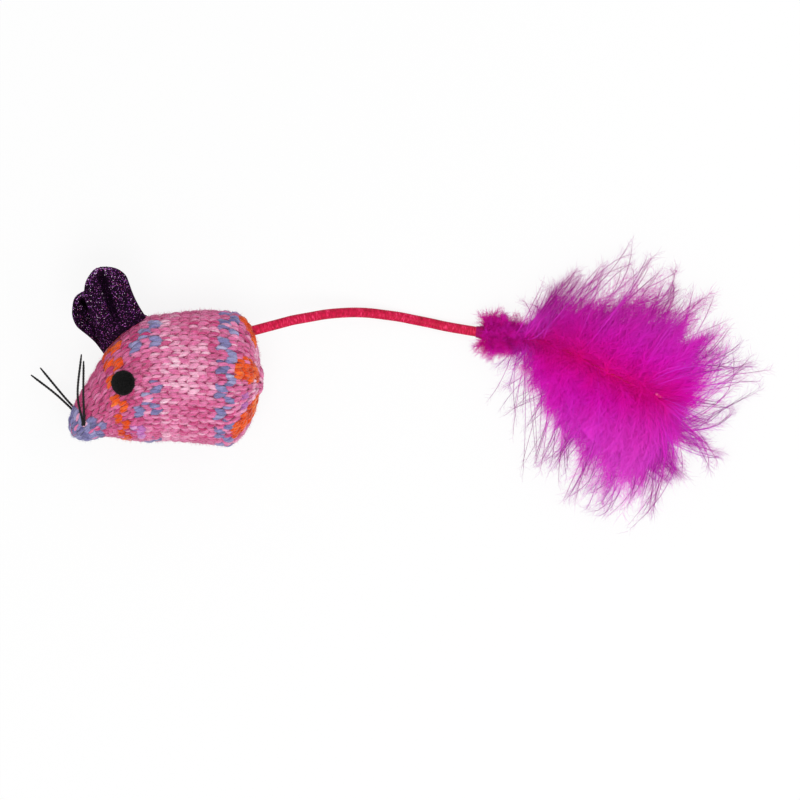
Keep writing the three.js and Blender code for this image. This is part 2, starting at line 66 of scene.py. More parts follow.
SPIKE_SIDES = 3
SPIKE_TOWARD = np.array([0.31, 0.17, 0.94])

# Camera: straight above the toy, with the photograph's field
VIEW_CENTRE = (77.33, -5.0)
VIEW_WIDTH = 266.7
VIEW_HEIGHT = 4000.0
VIEW_PLANE = 20.0
SENSOR_WIDTH = 36.0

# Knitted cover, as in the CAD model: back x and y, belly x and y, and half depth of each ring
COVER_RINGS = (
    (-32.7, -10.0, -25.0, -18.3, 6.0),
    (-30.7, -4.7, -21.7, -17.3, 8.6),
    (-25.7, 3.4, -18.3, -17.5, 11.8),
    (-19.0, 13.8, -14.0, -18.3, 15.0),
    (-10.3, 22.0, -8.0, -19.0, 17.6),
    (0.0, 24.0, 0.0, -18.8, 19.0),
    (12.3, 25.2, 11.7, -19.8, 19.2),
    (21.3, 24.5, 18.7, -20.5, 17.8),
)
SECTION_POWER = 2.25
NOSE_CAP_LENGTH = 4.0
NOSE_CAP_ANGLE = math.radians(57)
RUMP_CAP_LENGTH = 10.9
RUMP_CAP_ANGLE = math.radians(90)
REST_CUT = 0.5
MOUTH_RADIUS = 2.6

# Stockinette: courses run round the body and wales run along it, with the tips of the V to the tail
COURSE_HEIGHT = 3.2
WALES = 32
HEAD_WALES = 28
MUZZLE_WALE_WIDTH = 3.3
MOTIF_X = -4.0
STITCH_MIDDLE = 0.55
WALE_PHASE = 0.75
WALE_DRIFT = 0.35
RUMP_WALE_WIDTH = 3.7
LEG_RINGS = 8
LEG_SIDES = 5
LEG_REACH = (-0.12, 1.2)
LEG_SPREAD = (0.04, 0.45)
LEG_HALF_WIDTH = 0.25
LEG_FLATNESS = 0.8
LEG_DIVE = 1.2
LEG_JITTER = {"along": 0.045, "across": 0.035, "width": 0.06}
WIDEST_WALE = 4.3
MOTIF_BULK = 1.3
STRAND_OFFSET = 0.48
STRAND_THICKNESS = (0.5, 0.64)
STRAND_UNEVEN = 0.17
LINING_DEPTH = 1.25
YARN_STRANDS = 3
YARN_TURNS = 0.7
FUZZ_COUNT = 15000
FUZZ_ROWS = 4
FUZZ_LENGTH = (0.5, 1.4)
FUZZ_RADIUS = 0.04
FUZZ_DEPTH = 0.35
# Fuzz is painted paler than its yarn, as a highlight
FUZZ_PAINTED_HIGHLIGHT = 0.25

# Pattern: stitches by course and wale, by course and step of the motif, or by course and odd or even wale
MOTIF_WALES = 6
MOTIF_START = 2
SLATE_MOTIF = ((0, 0), (0, 2), (1, 1), (2, 2))
PURPLE_STITCHES = ((3, 12), (2, 12), (2, 13))
ORANGE_DOTS = ((4, 0), (5, 1))
SLATE_DOTS = ((-7, 0), (-8, 1))
LAST_HEAD_COURSE = 5
LAST_BODY_COURSE = 3
REAR_COURSE = -7
RUMP_COURSE = -9
LUMP_START = 0.128
LUMP_EVERY = 0.185
LUMP_END = 0.87

# Gathered yarn at the rump: distance from the axis, height and half width along each strand
GATHER_STRANDS = 13
GATHER_REACH = np.array([4.6, 4.2, 3.5, 2.6, 1.7, 0.9, 0.4])
GATHER_HEIGHT = np.array([-1.2, -0.5, 0.1, 0.4, 0.35, 0.1, -0.5])
GATHER_WIDTH = np.array([0.85, 0.95, 0.95, 0.85, 0.7, 0.55, 0.4])
GATHER_SWIRL = 0.9

# Glitter fabric ears
EAR_LENGTH = 25.0
EAR_HALF_WIDTH = 7.9
EAR_THICKNESS = 1.4
EAR_CUP = 2.6
EARS = {
    "left": {"heading": 109, "lean": 24, "curl": 1.5},
    "right": {"heading": 141, "lean": 40, "curl": 1.0},
}
EAR_FLARE = 0.22
EAR_FLARE_DROP = 0.28
EAR_CREASE_DEPTH = 4.2
EAR_CREASE_WIDTH = 0.95
EAR_COLUMNS = 84
EAR_ROWS = 52
EAR_BOW = math.radians(88)
FLECKS_PER_FACE = 380
FLECK_SEEDS = {"left": 41, "right": 42}
# The near-white flecks are painted glints: foil coloured as if it caught the light
FLECK_COLOURS = ((255, 235, 255), (214, 120, 240), (150, 50, 180), (235, 110, 170))
FLECK_SHARES = (0.34, 0.32, 0.22, 0.12)
FLECK_SIZE = (0.06, 0.15)
FLECK_THICKNESS = np.array([-0.06, 0.0, 0.06])
FLECK_PROFILE = np.array([0.85, 1.0, 0.85])
FLECK_TILT = 0.42
FLECK_SIDES = 6
FLECK_TOWARD = np.array([0.9, 0.3, 0.2])

# Felt eyes: shares of the radius and of the thickness, from the back to the front, with the rim's row
EYE_RADIUS = 4.2
EYE_THICKNESS = 1.2
EYE_SIDES = 56
EYE_SHARES = np.array([0.05, 0.55, 0.9, 0.985, 1.0, 0.97, 0.88, 0.7, 0.45, 0.2, 0.04])
EYE_HEIGHTS = np.array([-0.3, -0.3, -0.3, -0.05, 0.35, 0.75, 1.02, 1.18, 1.28, 1.33, 1.34])
EYE_RIM = 4
EYE_DOME = 44.0
FELT_HAIRS = 520
FELT_HAIR_LENGTH = (0.25, 0.7)
FELT_HAIR_RADIUS = 0.03

# Waxed thread whiskers: start, bend and tip of each strand, measured from the pair's root
WHISKER_DIAMETER = 0.8
WHISKER_ROWS = 90
WHISKER_SIDES = 10
WHISKER_INSIDE = (1.2, 1.0)
WHISKER_TAPER = ((0, 0.9, 1), (1, 0.95, 0.6))
WHISKER_TWIST = {"lobes": 2, "lobe_depth": 0.16, "turns": 26.0}
WHISKER_TOWARD = np.array([0.8, 0.1, 0.6])
WHISKERS = {
    "left_whisker_front": (0.0, (-1.5, 8.6, 4.6), (-0.2, 22.4, 7.0)),
    "left_whisker_rear": (0.6, (-0.2, 8.6, 4.6), (-0.1, 20.2, 5.6)),
    "right_whisker_front": (-0.5, (-7.6, 8.0, -2.6), (-17.3, 15.6, -4.6)),
    "right_whisker_rear": (0.5, (-7.4, 8.6, -2.4), (-15.2, 18.0, -4.2)),
}

# Satin cord tail
CORD_DIAMETER = 3.2
CORD_GAP = 0.3
TAIL_ROOT_HEADING = 15
TAIL_ROOT_DROOP = 12
TAIL_ROOT_INSIDE = 5.0
CORD_JOIN = 5.0
CORD_ROUTE = (
    (47.3, 22.7, 14.2),
    (52.3, 23.6, 11.9),
    (57.3, 24.1, 9.4),
    (62.3, 24.3, 6.9),
    (67.3, 24.1, 4.7),
    (72.3, 23.5, 3.0),
    (77.3, 22.8, 2.0),
    (82.3, 21.8, 1.7),
    (87.3, 20.8, 1.7),
    (92.3, 19.7, 1.9),
    (97.3, 18.8, 2.5),
    (101.5, 18.1, 3.2),
)
CORD_ROWS = 420
ROOT_ROWS = 90
CORD_SIDES = 48
CORD_STRANDS = 12
CORD_LAY = 9.0
CORD_RIB = 0.06

# Plume: binding, quills and down
PLUME_HEADING = -9
BINDING_RADIUS = 2.3
BINDING_LENGTH = 9.0
BINDING_THREAD = 0.5
BINDING_STEPS = 18
BINDING_SIDES = 7
BINDING_CORE_SIDES = 20
QUILL_ROWS = 90
QUILL_SIDES = 12
QUILL_END_ROWS = 12
QUILL_END_SIDES = 10
QUILL_DIAMETER = 1.2
QUILL_SPREAD = 0.9
TOP_QUILL_ROUTE = ((126, 14.0, 9.5), (139, 8.4, 13.5), (152, 1.6, 14.8), (165, -4.5, 14.2))
QUILL_END = (162.8, -2.9, 18.4)
UNDER_QUILL_ROUTE = ((126, 12.6, 4.4), (139, 4.6, 5.4), (152, -6.5, 6.0), (163, -17.5, 6.0))
PLUME_CENTRE = np.array([150.0, -0.5])
CORE_RADIUS = 28.5
CORE_LOBES = ((1, 1.5, 60), (2, 1.5, 90), (3, 2.5, 37))
ROOF_HEIGHT = 21.0
ROOF_RIM = 6.0
MASS_SHARE = 0.68
MASS_FLOOR = 5.0
LOCKS = 34
LOCK_PINCH = 0.75
LOCK_DEPTH = 0.17
SHADE_REACH = 22.0
LONG_LOCKS = ((-150, -0.6), (-84, 0.7), (-58, -0.4), (-20, -0.5), (3, 0.8), (38, 0.5), (60, 0.4), (84, 0.4))
CORE_BARBS = 330
CORE_SHADE = 0.72
CORE_RIMS = {"coarse": (0.8, 1.03), "fine": (0.84, 1.2)}
UNDERSIDE_BARBS = 300
STRAY_WISPS = 18
STRAY_HEADINGS = (180, 228)
STRAY_REACH = (34, 46)
WISP_RADIUS = 48.0
WISPS_PER_LOCK = 5
BARE_HEADING = math.radians(195)
TUFT_BARBS = 400
TUFT_REACH = (2.0, 19.0)
MASS_COLUMNS = 180
MASS_LOWER_ROWS = 12
MASS_UPPER_ROWS = 22
BARB_ROWS = 9
HAIR_ROWS = np.array([0, 0.55, 1.0])
HAIR_TAPER = np.array([1, 0.8, 0.0])
HAIR_SLOPE = (28, 68)
HAIR_FLATNESS = 0.4

# Fluff: radius and taper of barbs, and number, length at root and tip, radius and crowding of their hairs
FLUFF = {
    "coarse": {"barb": (0.07, 0.75), "hairs": 52, "length": (4.6, 4.2), "radius": 0.068, "crowding": 0.68},
    "fine": {"barb": (0.07, 0.75), "hairs": 52, "length": (5.4, 5.4), "radius": 0.04, "crowding": 0.68},
    "underside": {"barb": (0.07, 0.75), "hairs": 52, "length": (5.0, 4.6), "radius": 0.068, "crowding": 0.8},
    "wisps": {"barb": (0.15, 0.5), "hairs": 64, "length": (5.0, 3.0), "radius": 0.026, "crowding": 0.75},
    "strays": {"barb": (0.1, 0.4), "hairs": 26, "length": (3.4, 2.2), "radius": 0.024, "crowding": 0.75},
    "tuft": {"barb": (0.08, 0.75), "hairs": 36, "length": (3.2, 2.2), "radius": 0.05, "crowding": 1.0},
}

# Where barbs and hairs begin and end in the colours of the down, if not by their distance from a quill
FLUFF_SHADES = {
    "wisps": ((-0.15, 1.3), (0.25, 0.7)),
    "strays": ((0.3, 1.2), (0.3, 0.8)),
    "tuft": ((0.0, 0.8), (0.0, 0.6)),
}

# Yarns by number, each with its deep, middle and light colour and its share of pink strands
PINK, SLATE, ORANGE, PURPLE = range(4)
YARN_TONES = {
    PINK: ((196, 60, 118), (230, 124, 174), (250, 208, 226)),
    SLATE: ((96, 88, 138), (138, 134, 184), (188, 184, 218)),
    ORANGE: ((198, 50, 4), (240, 88, 18), (252, 136, 62)),
    PURPLE: ((156, 76, 150), (196, 118, 190), (230, 172, 218)),
}
PINK_STRANDS = {PINK: 0.0, SLATE: 0.12, ORANGE: 0.04, PURPLE: 0.3}

# Grained finishes: scale, detail and range of the grain, two colours, strength and depth of bumps, shader
CLOTH = {"Roughness": 1.0, "Sheen Weight": 0.2}
FELT = {"Roughness": 1.0, "Sheen Weight": 0.06, "Sheen Roughness": 0.6, "Specular IOR Level": 0.06}
THREAD = {"Roughness": 0.65, "Specular IOR Level": 0.25}
WHIPPING = {"Roughness": 0.7, "Specular IOR Level": 0.2}
SHAFT = {"Roughness": 0.6, "Specular IOR Level": 0.2}
GRAINS = {
    # The knit's lining is darker than the yarn, as painted shade between the stitches
    "knit_lining_shade": (260, 3, (0.3, 0.7), (156, 52, 102), (198, 88, 138), (0.4, 0.0005), {"Roughness": 1.0}),
    "felt": (2600, 5, (0.4, 0.66), (0, 0, 0), (24, 23, 23), (0.8, 0.0005), FELT),
    "waxed_thread": (2200, 4, (0, 1), (4, 3, 5), (20, 18, 20), (0.6, 0.0003), THREAD),
    "whipping_thread": (1800, 4, (0, 1), (140, 0, 74), (200, 6, 124), (0.5, 0.0003), WHIPPING),
    "quill": (700, 4, (0.3, 0.7), (176, 0, 70), (214, 0, 100), (0.3, 0.0003), SHAFT),
    "quill_end": (700, 4, (0.3, 0.7), (200, 40, 100), (255, 120, 185), (0.3, 0.0003), SHAFT),
    "fibre_fill": (420, 5, (0.3, 0.7), (214, 211, 203), (246, 244, 238), (0.6, 0.0006), CLOTH),
    "sachet_cloth": (1300, 5, (0.3, 0.7), (150, 160, 118), (196, 202, 166), (0.6, 0.0006), CLOTH),
}

# Finishes whose bumps keep to the grain's range too
EVEN_BUMPS = ("knit_lining_shade", "fibre_fill", "sachet_cloth")

# Yarn: stripes round a strand and their turns along it, as painted shade of the twist, scales of blotches
# and specks, and how much each one shades
YARN_SHADER = {"Roughness": 0.95, "Sheen Weight": 0.3, "Sheen Roughness": 0.5, "Specular IOR Level": 0.15}
YARN_FIBRES = 5.0
YARN_FIBRE_TURNS = 1.4
BLOTCH_SCALE = 620.0
SPECK_SCALE = 2600.0
YARN_SHADES = {"fibres": 0.10, "blotch": 0.7, "speck": 0.6}

# Glitter: scale of the foil specks and of the weave, size and share of specks that shine
FOIL_SCALE = 2300.0
FOIL_SIZE = 0.45
FOIL_SHARE = 0.5
WEAVE_SCALE = 900.0

# Satin: spacing of threads and of patches of painted sheen along the cord, how many go round it, and their
# weights
SATIN_THREADS = (0.4, 8.0, 0.65)
SATIN_SHEEN_PATCHES = (2.6, 2.5, 0.35)

# Marabou dyes in two tones, and finishes: dyes of core, body and edge, and share of painted light on the
# side toward -Y
DYES = {
    "wine": ((214, 0, 110), (222, 4, 132)),
    "crimson": ((238, 0, 116), (238, 2, 144)),
    "magenta": ((246, 8, 198), (234, 22, 220)),
    "violet": ((246, 54, 228), (226, 70, 236)),
    "shadow": ((128, 18, 104), (98, 26, 96)),
    "rose": ((236, 8, 176), (224, 16, 200)),
    "plum": ((214, 40, 196), (176, 44, 176)),
}
MARABOU = {
    "marabou": (("crimson", "magenta", "violet"), 0.3),
    "marabou_wisps": (("magenta", "violet", "shadow"), 0.0),
    "marabou_tuft": (("wine", "rose", "plum"), 0.3),
}

# Stage: floor with its fade over a distance in metres, world by unseen and seen rays, and lamps
FLOOR_HALF = 4000.0
FLOOR_GREY = (0.9, 0.9, 0.9, 1)
FADE_DISTANCES = (0.1, 0.6)
FADE_SHARES = (0.85, 1.0)
WORLD_LEVELS = (0.6, 1.0)
LAMPS = {
    "key": ((20.0, -500.0, 1450.0), 900.0, 13.0),
    "fill": ((700.0, 200.0, 900.0), 900.0, 4.0),
}


def direction(heading, climb=0.0):
    """Unit vector from a heading in plan and a climb, in degrees."""
    level = math.cos(math.radians(climb))
    turn = math.radians(heading)
    return np.array([level * math.cos(turn), level * math.sin(turn), math.sin(math.radians(climb))])


def unit(vectors):
    """Vectors scaled to length 1."""
    return vectors / np.maximum(np.linalg.norm(vectors, axis=-1, keepdims=True), 1e-9)


def smoothstep(value, low=0.0, high=1.0):
    share = np.clip((value - low) / (high - low), 0, 1)
    return share * share * (3 - 2 * share)


def drift(position, seed):
    """Smooth random value between 0 and 1 along a line."""
    table = np.random.default_rng(seed).random(DRIFT_VALUES)
    whole = np.floor(position).astype(int)
    share = smoothstep(position - whole)
    return table[whole % DRIFT_VALUES] * (1 - share) + table[(whole + 1) % DRIFT_VALUES] * share


def between(pair, share):
    """Value at a share of the way from the first of a pair to the second."""
    return pair[0] + (pair[1] - pair[0]) * share


def bell(gap, width):
    """1 where there is no gap, and next to nothing past twice the width."""
    return np.exp(-((gap / width) ** 2))


def round_angles(count):
    """Angles of points set evenly round a circle."""
    return 2 * math.pi * np.arange(count) / count


def spokes(turn, across, ahead):
    """Directions away from an axis, by their turn from across to ahead."""
    return np.cos(turn)[:, None] * across + np.sin(turn)[:, None] * ahead


def angle_gap(gap):
    """The same turn as an angle between minus and plus half a turn."""
    return (gap + math.pi) % (2 * math.pi) - math.pi


def joint_named(name):
    """A joint of the CAD model."""
    return next(joint for joint in frame["joints"] if joint["name"] == name)


def joint_point(name):
    """Where a joint turns, in millimetres."""
    return np.array(joint_named(name)["pos_m"]) / MM


def joint_axis(name):
    return np.array(joint_named(name)["axis"])


def bend_at(piece):
    """Bakes a piece's placement into its mesh."""
    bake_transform(piece)


def spline(points, shares):
    """Points of a centripetal Catmull-Rom curve, the CAD model's curve, at shares of its spans."""
    points = np.asarray(points, float)
    shares = np.asarray(shares, float)
    spans = len(points) - 1
    ends = np.vstack([2 * points[0] - points[1], points, 2 * points[-1] - points[-2]])
    span = np.clip(np.floor(shares * spans).astype(int), 0, spans - 1)
    at = (shares * spans - span)[:, None]
    before, first, last, after = (ends[span + i] for i in range(4))
    lead, middle, trail = (
        np.sqrt(np.linalg.norm(b - a, axis=1))[:, None]
        for a, b in ((before, first), (first, last), (last, after))
    )
    start = (first - before) / lead - (last - before) / (lead + middle) + (last - first) / middle
    stop = (last - first) / middle - (after - first) / (middle + trail) + (after - last) / trail
    start, stop = start * middle, stop * middle
    square = -3 * first + 3 * last - 2 * start - stop
    cube = 2 * first - 2 * last + start + stop
    return first + at * (start + at * (square + at * cube))


def run_length(points):
    """Distance along a line of points to each of them."""
    steps = np.linalg.norm(np.diff(points, axis=0), axis=1)
    return np.concatenate([[0], np.cumsum(steps)])


def evened(points, shares):
    """Points at shares of the distance along a line of points."""
    along = run_length(points)
    return np.stack([np.interp(shares * along[-1], along, line) for line in points.T], axis=1)


def even_curve(points, count):
    """Points of the same curve at equal distances."""
    return evened(spline(points, np.linspace(0, 1, CURVE_STEPS)), np.linspace(0, 1, count))


# Meshes


class Skin:
    """Closed tubes given by their rings: rings has the shape (tubes, rows, sides, 3)."""

    def __init__(self, rings, tips=None):
        tubes, rows, sides = rings.shape[:3]
        index = np.arange(tubes * rows * sides).reshape(tubes, rows, sides)
        following = np.roll(index, -1, axis=2)
        bands = [index[:, :-1], following[:, :-1], following[:, 1:], index[:, 1:]]
        self.count = tubes
        self.vertices = rings.reshape(-1, 3)
        self.tube = np.repeat(np.arange(tubes), rows * sides)
        self.row = np.tile(np.repeat(np.arange(rows), sides), tubes) / max(rows - 1, 1)
        self.polygons = [np.stack(bands, axis=-1).reshape(-1, 4), index[:, 0, ::-1]]
        self.cells = [self.band_cells(tubes, rows, sides), self.cap_cells(tubes, sides, 0.0)]
        if tips is None:
            self.polygons.append(index[:, -1])
            self.cells.append(self.cap_cells(tubes, sides, 1.0))
            return
        points = tubes * rows * sides + np.arange(tubes)
        fan = [index[:, -1], following[:, -1], np.broadcast_to(points[:, None], (tubes, sides))]
        self.polygons.append(np.stack(fan, axis=-1).reshape(-1, 3))
        self.cells.append(np.zeros((tubes * sides * 3, 3)))
        self.vertices = np.concatenate([self.vertices, tips])
        self.tube = np.concatenate([self.tube, np.arange(tubes)])
        self.row = np.concatenate([self.row * (rows - 1) / rows, np.ones(tubes)])

    @staticmethod
    def band_cells(tubes, rows, sides):
        """Tube number, share along and share round of each corner of the bands."""
        tube, row, side = np.meshgrid(np.arange(tubes), np.arange(rows - 1), np.arange(sides), indexing="ij")
        corners = ((0, 0), (0, 1), (1, 1), (1, 0))
        cells = [np.stack([tube, (row + r) / (rows - 1), (side + s) / sides], axis=-1) for r, s in corners]
        return np.stack(cells, axis=3).reshape(-1, 3)

    @staticmethod
    def cap_cells(tubes, sides, along):
        tube, side = np.meshgrid(np.arange(tubes), np.arange(sides), indexing="ij")
        return np.stack([tube, np.full(tube.shape, along), side / sides], axis=-1).reshape(-1, 3)


def tube_frames(centre, toward):
    """Side and top directions of tubes whose centre lines have the shape (tubes, rows, 3)."""
    tangent = unit(np.gradient(centre, axis=1))
    across = unit(np.cross(np.broadcast_to(toward, centre.shape), tangent))
    return across, np.cross(tangent, across)


def tube_rings(centre, wide, tall, toward):
    """Rings of points round centre lines, by how far each point lies to the side and above."""
    across, rise = tube_frames(centre, toward)
    return centre[:, :, None] + wide[..., None] * across[:, :, None] + tall[..., None] * rise[:, :, None]


def tubes(centre, half_width, half_height, sides, toward=UP, lobes=0, lobe_depth=0.0, turns=0.0):
    """Tubes along centre lines. Lobes twist round the section like the plies of a yarn."""
    turn = round_angles(sides)
    phase = 2 * math.pi * turns * np.linspace(0, 1, centre.shape[1])[:, None]
    swell = 1 + lobe_depth * np.cos(lobes * turn[None, :] + phase)
    wide = half_width[..., None] * swell * np.cos(turn)
    tall = half_height[..., None] * swell * np.sin(turn)
    return Skin(tube_rings(centre, wide, tall, toward))


def round_tube(path, radius, sides, toward=UP, **lobes):
    """One tube of even thickness along a path."""
    thick = np.full((1, len(path)), radius)
    return tubes(path[None], thick, thick, sides, toward, **lobes)


def spikes(centre, radius, flatness=1.0):
    """Thin tapered tubes whose last row is a point."""
    turn = round_angles(SPIKE_SIDES)
    wide = radius[..., None] * np.cos(turn)
    tall = flatness * radius[..., None] * np.sin(turn)
    rings = tube_rings(centre, wide, tall, SPIKE_TOWARD)
    return Skin(rings[:, :-1], centre[:, -1])


def hair_lines(root, out, curl, length, along):
    """Centre lines of hairs that leave their root one way and curl another, at shares along them."""
    along = along[None, :, None]
    return root[:, None] + length[:, None, None] * (along * out[:, None] + along**2 * curl[:, None])


def new_object(name, data):
    """Object of a mesh, camera or lamp, in the scene."""
    made = bpy.data.objects.new(name, data)
    bpy.context.scene.collection.objects.link(made)
    return made


def new_piece(name, vertices, polygons, material, body=None, smooth=True):
    """Mesh object from vertices in millimetres and arrays of polygons."""
    mesh = bpy.data.meshes.new(name)
    sizes = np.concatenate([np.full(len(group), group.shape[1]) for group in polygons])
    corners = np.concatenate([group.ravel() for group in polygons]).astype(np.int32)
    mesh.vertices.add(len(vertices))
    mesh.vertices.foreach_set("co", (np.asarray(vertices) * MM).astype(np.float32).ravel())
    mesh.loops.add(len(corners))
    mesh.loops.foreach_set("vertex_index", corners)
    mesh.polygons.add(len(sizes))
    mesh.polygons.foreach_set("loop_start", (np.cumsum(sizes) - sizes).astype(np.int32))
    mesh.polygons.foreach_set("use_smooth", np.full(len(sizes), smooth))
    mesh.update(calc_edges=True)
    mesh.materials.append(material)
    piece = new_object(name, mesh)
    if body:
        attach(piece, body)
    return piece


def on_table(vertices):
    """Keeps a piece on the table: what would be below it is pressed flat."""
    return np.column_stack([vertices[:, :2], np.maximum(vertices[:, 2], TABLE)])


def skin_piece(name, skins, material, body=None, pressed=False, smooth=True):
    """Mesh object of skins. A pressed one is kept on the table."""
    starts = np.cumsum([0] + [len(skin.vertices) for skin in skins])
    polygons = [group + start for skin, start in zip(skins, starts) for group in skin.polygons]
    vertices = np.concatenate([skin.vertices for skin in skins])
    vertices = on_table(vertices) if pressed else vertices
    return new_piece(name, vertices, polygons, material, body, smooth)


def set_uv(piece, corners):
    layer = piece.data.uv_layers.new(name="OFBake")
    layer.data.foreach_set("uv", corners.astype(np.float32).ravel())


def set_vertex_uv(piece, vertex_uv):
    """Texture place of each vertex, the same in all of its polygons."""
    corners = np.zeros(len(piece.data.loops), np.int32)
    piece.data.loops.foreach_get("vertex_index", corners)
    set_uv(piece, vertex_uv[corners])


def set_cell_uv(piece, skins, columns):
    """Each tube gets a square cell of the texture: along it in u and round it in v."""
    cells = []
    number = 0
    for skin in skins:
        own = np.concatenate(skin.cells)
        own[:, 0] += number
        number += skin.count
        cells.append(own)
    cells = np.concatenate(cells)
    inset = CELL_MARGIN + (1 - 2 * CELL_MARGIN) * cells[:, 1:]
    corner = np.stack([cells[:, 0] % columns, cells[:, 0] // columns], axis=1)
    set_uv(piece, (corner + inset) / columns)


def set_tint(piece, colours):
    """Own colour of each vertex."""
    values = np.ones((len(colours), 4), np.float32)
    values[:, :3] = colours
    layer = piece.data.color_attributes.new("tint", "FLOAT_COLOR", "POINT")
    layer.data.foreach_set("color", values.ravel())


# Materials


def colour(red, green, blue):
    """Linear colour from the 0 to 255 values seen on a screen."""
    values = np.array([red, green, blue]) / 255
    return np.where(values <= 0.04045, values / 12.92, ((values + 0.055) / 1.055) ** 2.4)


def dye(red, green, blue):
    """The same colour for a socket."""
    return (*(float(value) for value in colour(red, green, blue)), 1.0)


class Nodes:
    """Short ways to add nodes to a shader's tree."""

    def __init__(self, tree):
        self.tree = tree

    def add(self, kind, inputs=(), **settings):
        """New node with its settings, and what goes into its inputs by their numbers or names."""
        node = self.tree.nodes.new(kind)
        for name, value in settings.items():
            setattr(node, name, value)
        for socket, value in dict(inputs).items():
            self.feed(node.inputs[socket], value)
        return node

    def feed(self, socket, value):
        if isinstance(value, bpy.types.NodeSocket):
            self.tree.links.new(value, socket)
        else:
            socket.default_value = value

    def math(self, operation, *values):
        return self.add("ShaderNodeMath", enumerate(values), operation=operation).outputs[0]

    def vector(self, operation, *values):
        return self.add("ShaderNodeVectorMath", enumerate(values), operation=operation).outputs[0]

    def mix(self, share, first, second, blend="MIX"):
        inputs = {0: share, 6: first, 7: second}
        return self.add("ShaderNodeMix", inputs, data_type="RGBA", blend_type=blend).outputs[2]

    def place(self):
        return self.add("ShaderNodeTexCoord").outputs["Object"]

    def uv(self):
        return self.add("ShaderNodeUVMap", uv_map="OFBake").outputs[0]

    def split(self, value):
        return self.add("ShaderNodeSeparateXYZ", {0: value}).outputs

    def tint(self):
        return self.add("ShaderNodeVertexColor", layer_name="tint").outputs["Color"]

    def noise(self, place, scale, detail=3.0):
        inputs = {"Vector": place, "Scale": scale, "Detail": detail}
        return self.add("ShaderNodeTexNoise", inputs).outputs[0]

    def spread(self, value, low, high, start=0.0, end=1.0, kind="LINEAR"):
        """Value stretched so that low becomes start and high becomes end."""
        inputs = enumerate((value, low, high, start, end))
        return self.add("ShaderNodeMapRange", inputs, interpolation_type=kind).outputs[0]


class Finish(Nodes):
    """A material of one principled shader."""

    def __init__(self, name, sockets):
        self.material = bpy.data.materials.new(name)
        self.material.use_nodes = True
        super().__init__(self.material.node_tree)
        self.shader = self.tree.nodes["Principled BSDF"]
        for socket, value in sockets.items():
            self.set(socket, value)

    def set(self, socket, value):
        self.feed(self.shader.inputs[socket], value)

    def paint(self, value):
        self.set("Base Color", value)

    def bump(self, height, strength, distance):
        inputs = {"Strength": strength, "Distance": distance, "Height": height}
        self.set("Normal", self.add("ShaderNodeBump", inputs).outputs[0])


def cell_places(finish, columns):
    """Share along and share round a tube, from its texture cell."""
    grid = finish.vector("MULTIPLY", finish.uv(), (columns, columns, 0))
    inside = finish.split(finish.vector("FRACTION", grid))
    scale = 1 / (1 - 2 * CELL_MARGIN)
    return [
        finish.math("MULTIPLY", finish.math("SUBTRACT", inside[axis], CELL_MARGIN), scale)
        for axis in range(2)
    ]


def wave(finish, value):
    """Sine of a value in turns."""
    return finish.math("SINE", finish.math("MULTIPLY", value, 2 * math.pi))


def yarn_finish(name, columns):
    """Yarn of its own colours, with stripes of painted shade and highlight that follow the twist of its
    fibres, blotches and specks.
    """
    finish = Finish(name, YARN_SHADER)
    along, around = cell_places(finish, columns)
    lay = finish.math("MULTIPLY", along, YARN_FIBRE_TURNS)
    # Stripes that follow the twist: painted shade in its grooves and painted highlight on its ridges
    fibres = wave(finish, finish.math("MULTIPLY_ADD", around, YARN_FIBRES, lay))
    blotch = finish.math("SUBTRACT", finish.noise(finish.place(), BLOTCH_SCALE), 0.5)
    speck = finish.math("SUBTRACT", finish.noise(finish.place(), SPECK_SCALE), 0.5)
    shade = finish.math("MULTIPLY", blotch, YARN_SHADES["blotch"])
    shade = finish.math("MULTIPLY_ADD", fibres, YARN_SHADES["fibres"], shade)
    shade = finish.math("MULTIPLY_ADD", speck, YARN_SHADES["speck"], shade)
    light = finish.math("ADD", shade, 1.0)
    grey = finish.add("ShaderNodeCombineColor", enumerate([light] * 3))
    finish.paint(finish.mix(1.0, finish.tint(), grey.outputs[0], "MULTIPLY"))
    finish.bump(shade, 0.6, 0.0005)
    return finish.material


def grain_finish(name):
    """Two tones of a colour in a fine grain, which roughens the surface too."""
    scale, detail, limits, dark, light, bump, sockets = GRAINS[name]
    finish = Finish(name, sockets)
    grain = finish.noise(finish.place(), scale, detail)
    share = finish.spread(grain, *limits)
    finish.paint(finish.mix(share, dye(*dark), dye(*light)))
    finish.bump(share if name in EVEN_BUMPS else grain, *bump)
    return finish.material


def tint_finish(name, sockets):
    """Plain finish in each point's own colour."""
    finish = Finish(name, sockets)
    finish.paint(finish.tint())
    return finish.material


def glitter_finish():
    """Dark plum weave with specks of foil, most of them dull and a few painted as glints."""
    finish = Finish("glitter_fabric", {"Specular IOR Level": 0.08})
    place = finish.place()
    specks = finish.add("ShaderNodeTexVoronoi", {"Vector": place, "Scale": FOIL_SCALE})
    chosen = finish.split(specks.outputs["Color"])
    near = finish.math("LESS_THAN", specks.outputs["Distance"], FOIL_SIZE)
    foil = finish.math("MULTIPLY", near, finish.math("GREATER_THAN", chosen[0], FOIL_SHARE))
    weave = finish.spread(finish.noise(place, WEAVE_SCALE, 4.0), 0.3, 0.7)
    cloth = finish.mix(weave, dye(8, 1, 10), dye(26, 4, 28))
    # A few specks of foil painted light, as glints
    painted_glint = finish.math("POWER", chosen[1], 3.0)
    tone = finish.mix(painted_glint, dye(46, 9, 52), dye(160, 80, 160))
    finish.paint(finish.mix(foil, cloth, tone))
    finish.set("Metallic", finish.math("MULTIPLY", foil, 0.6))
    finish.set("Roughness", finish.math("MULTIPLY_ADD", foil, -0.45, 0.85))
    finish.bump(weave, 0.5, 0.0004)
    return finish.material


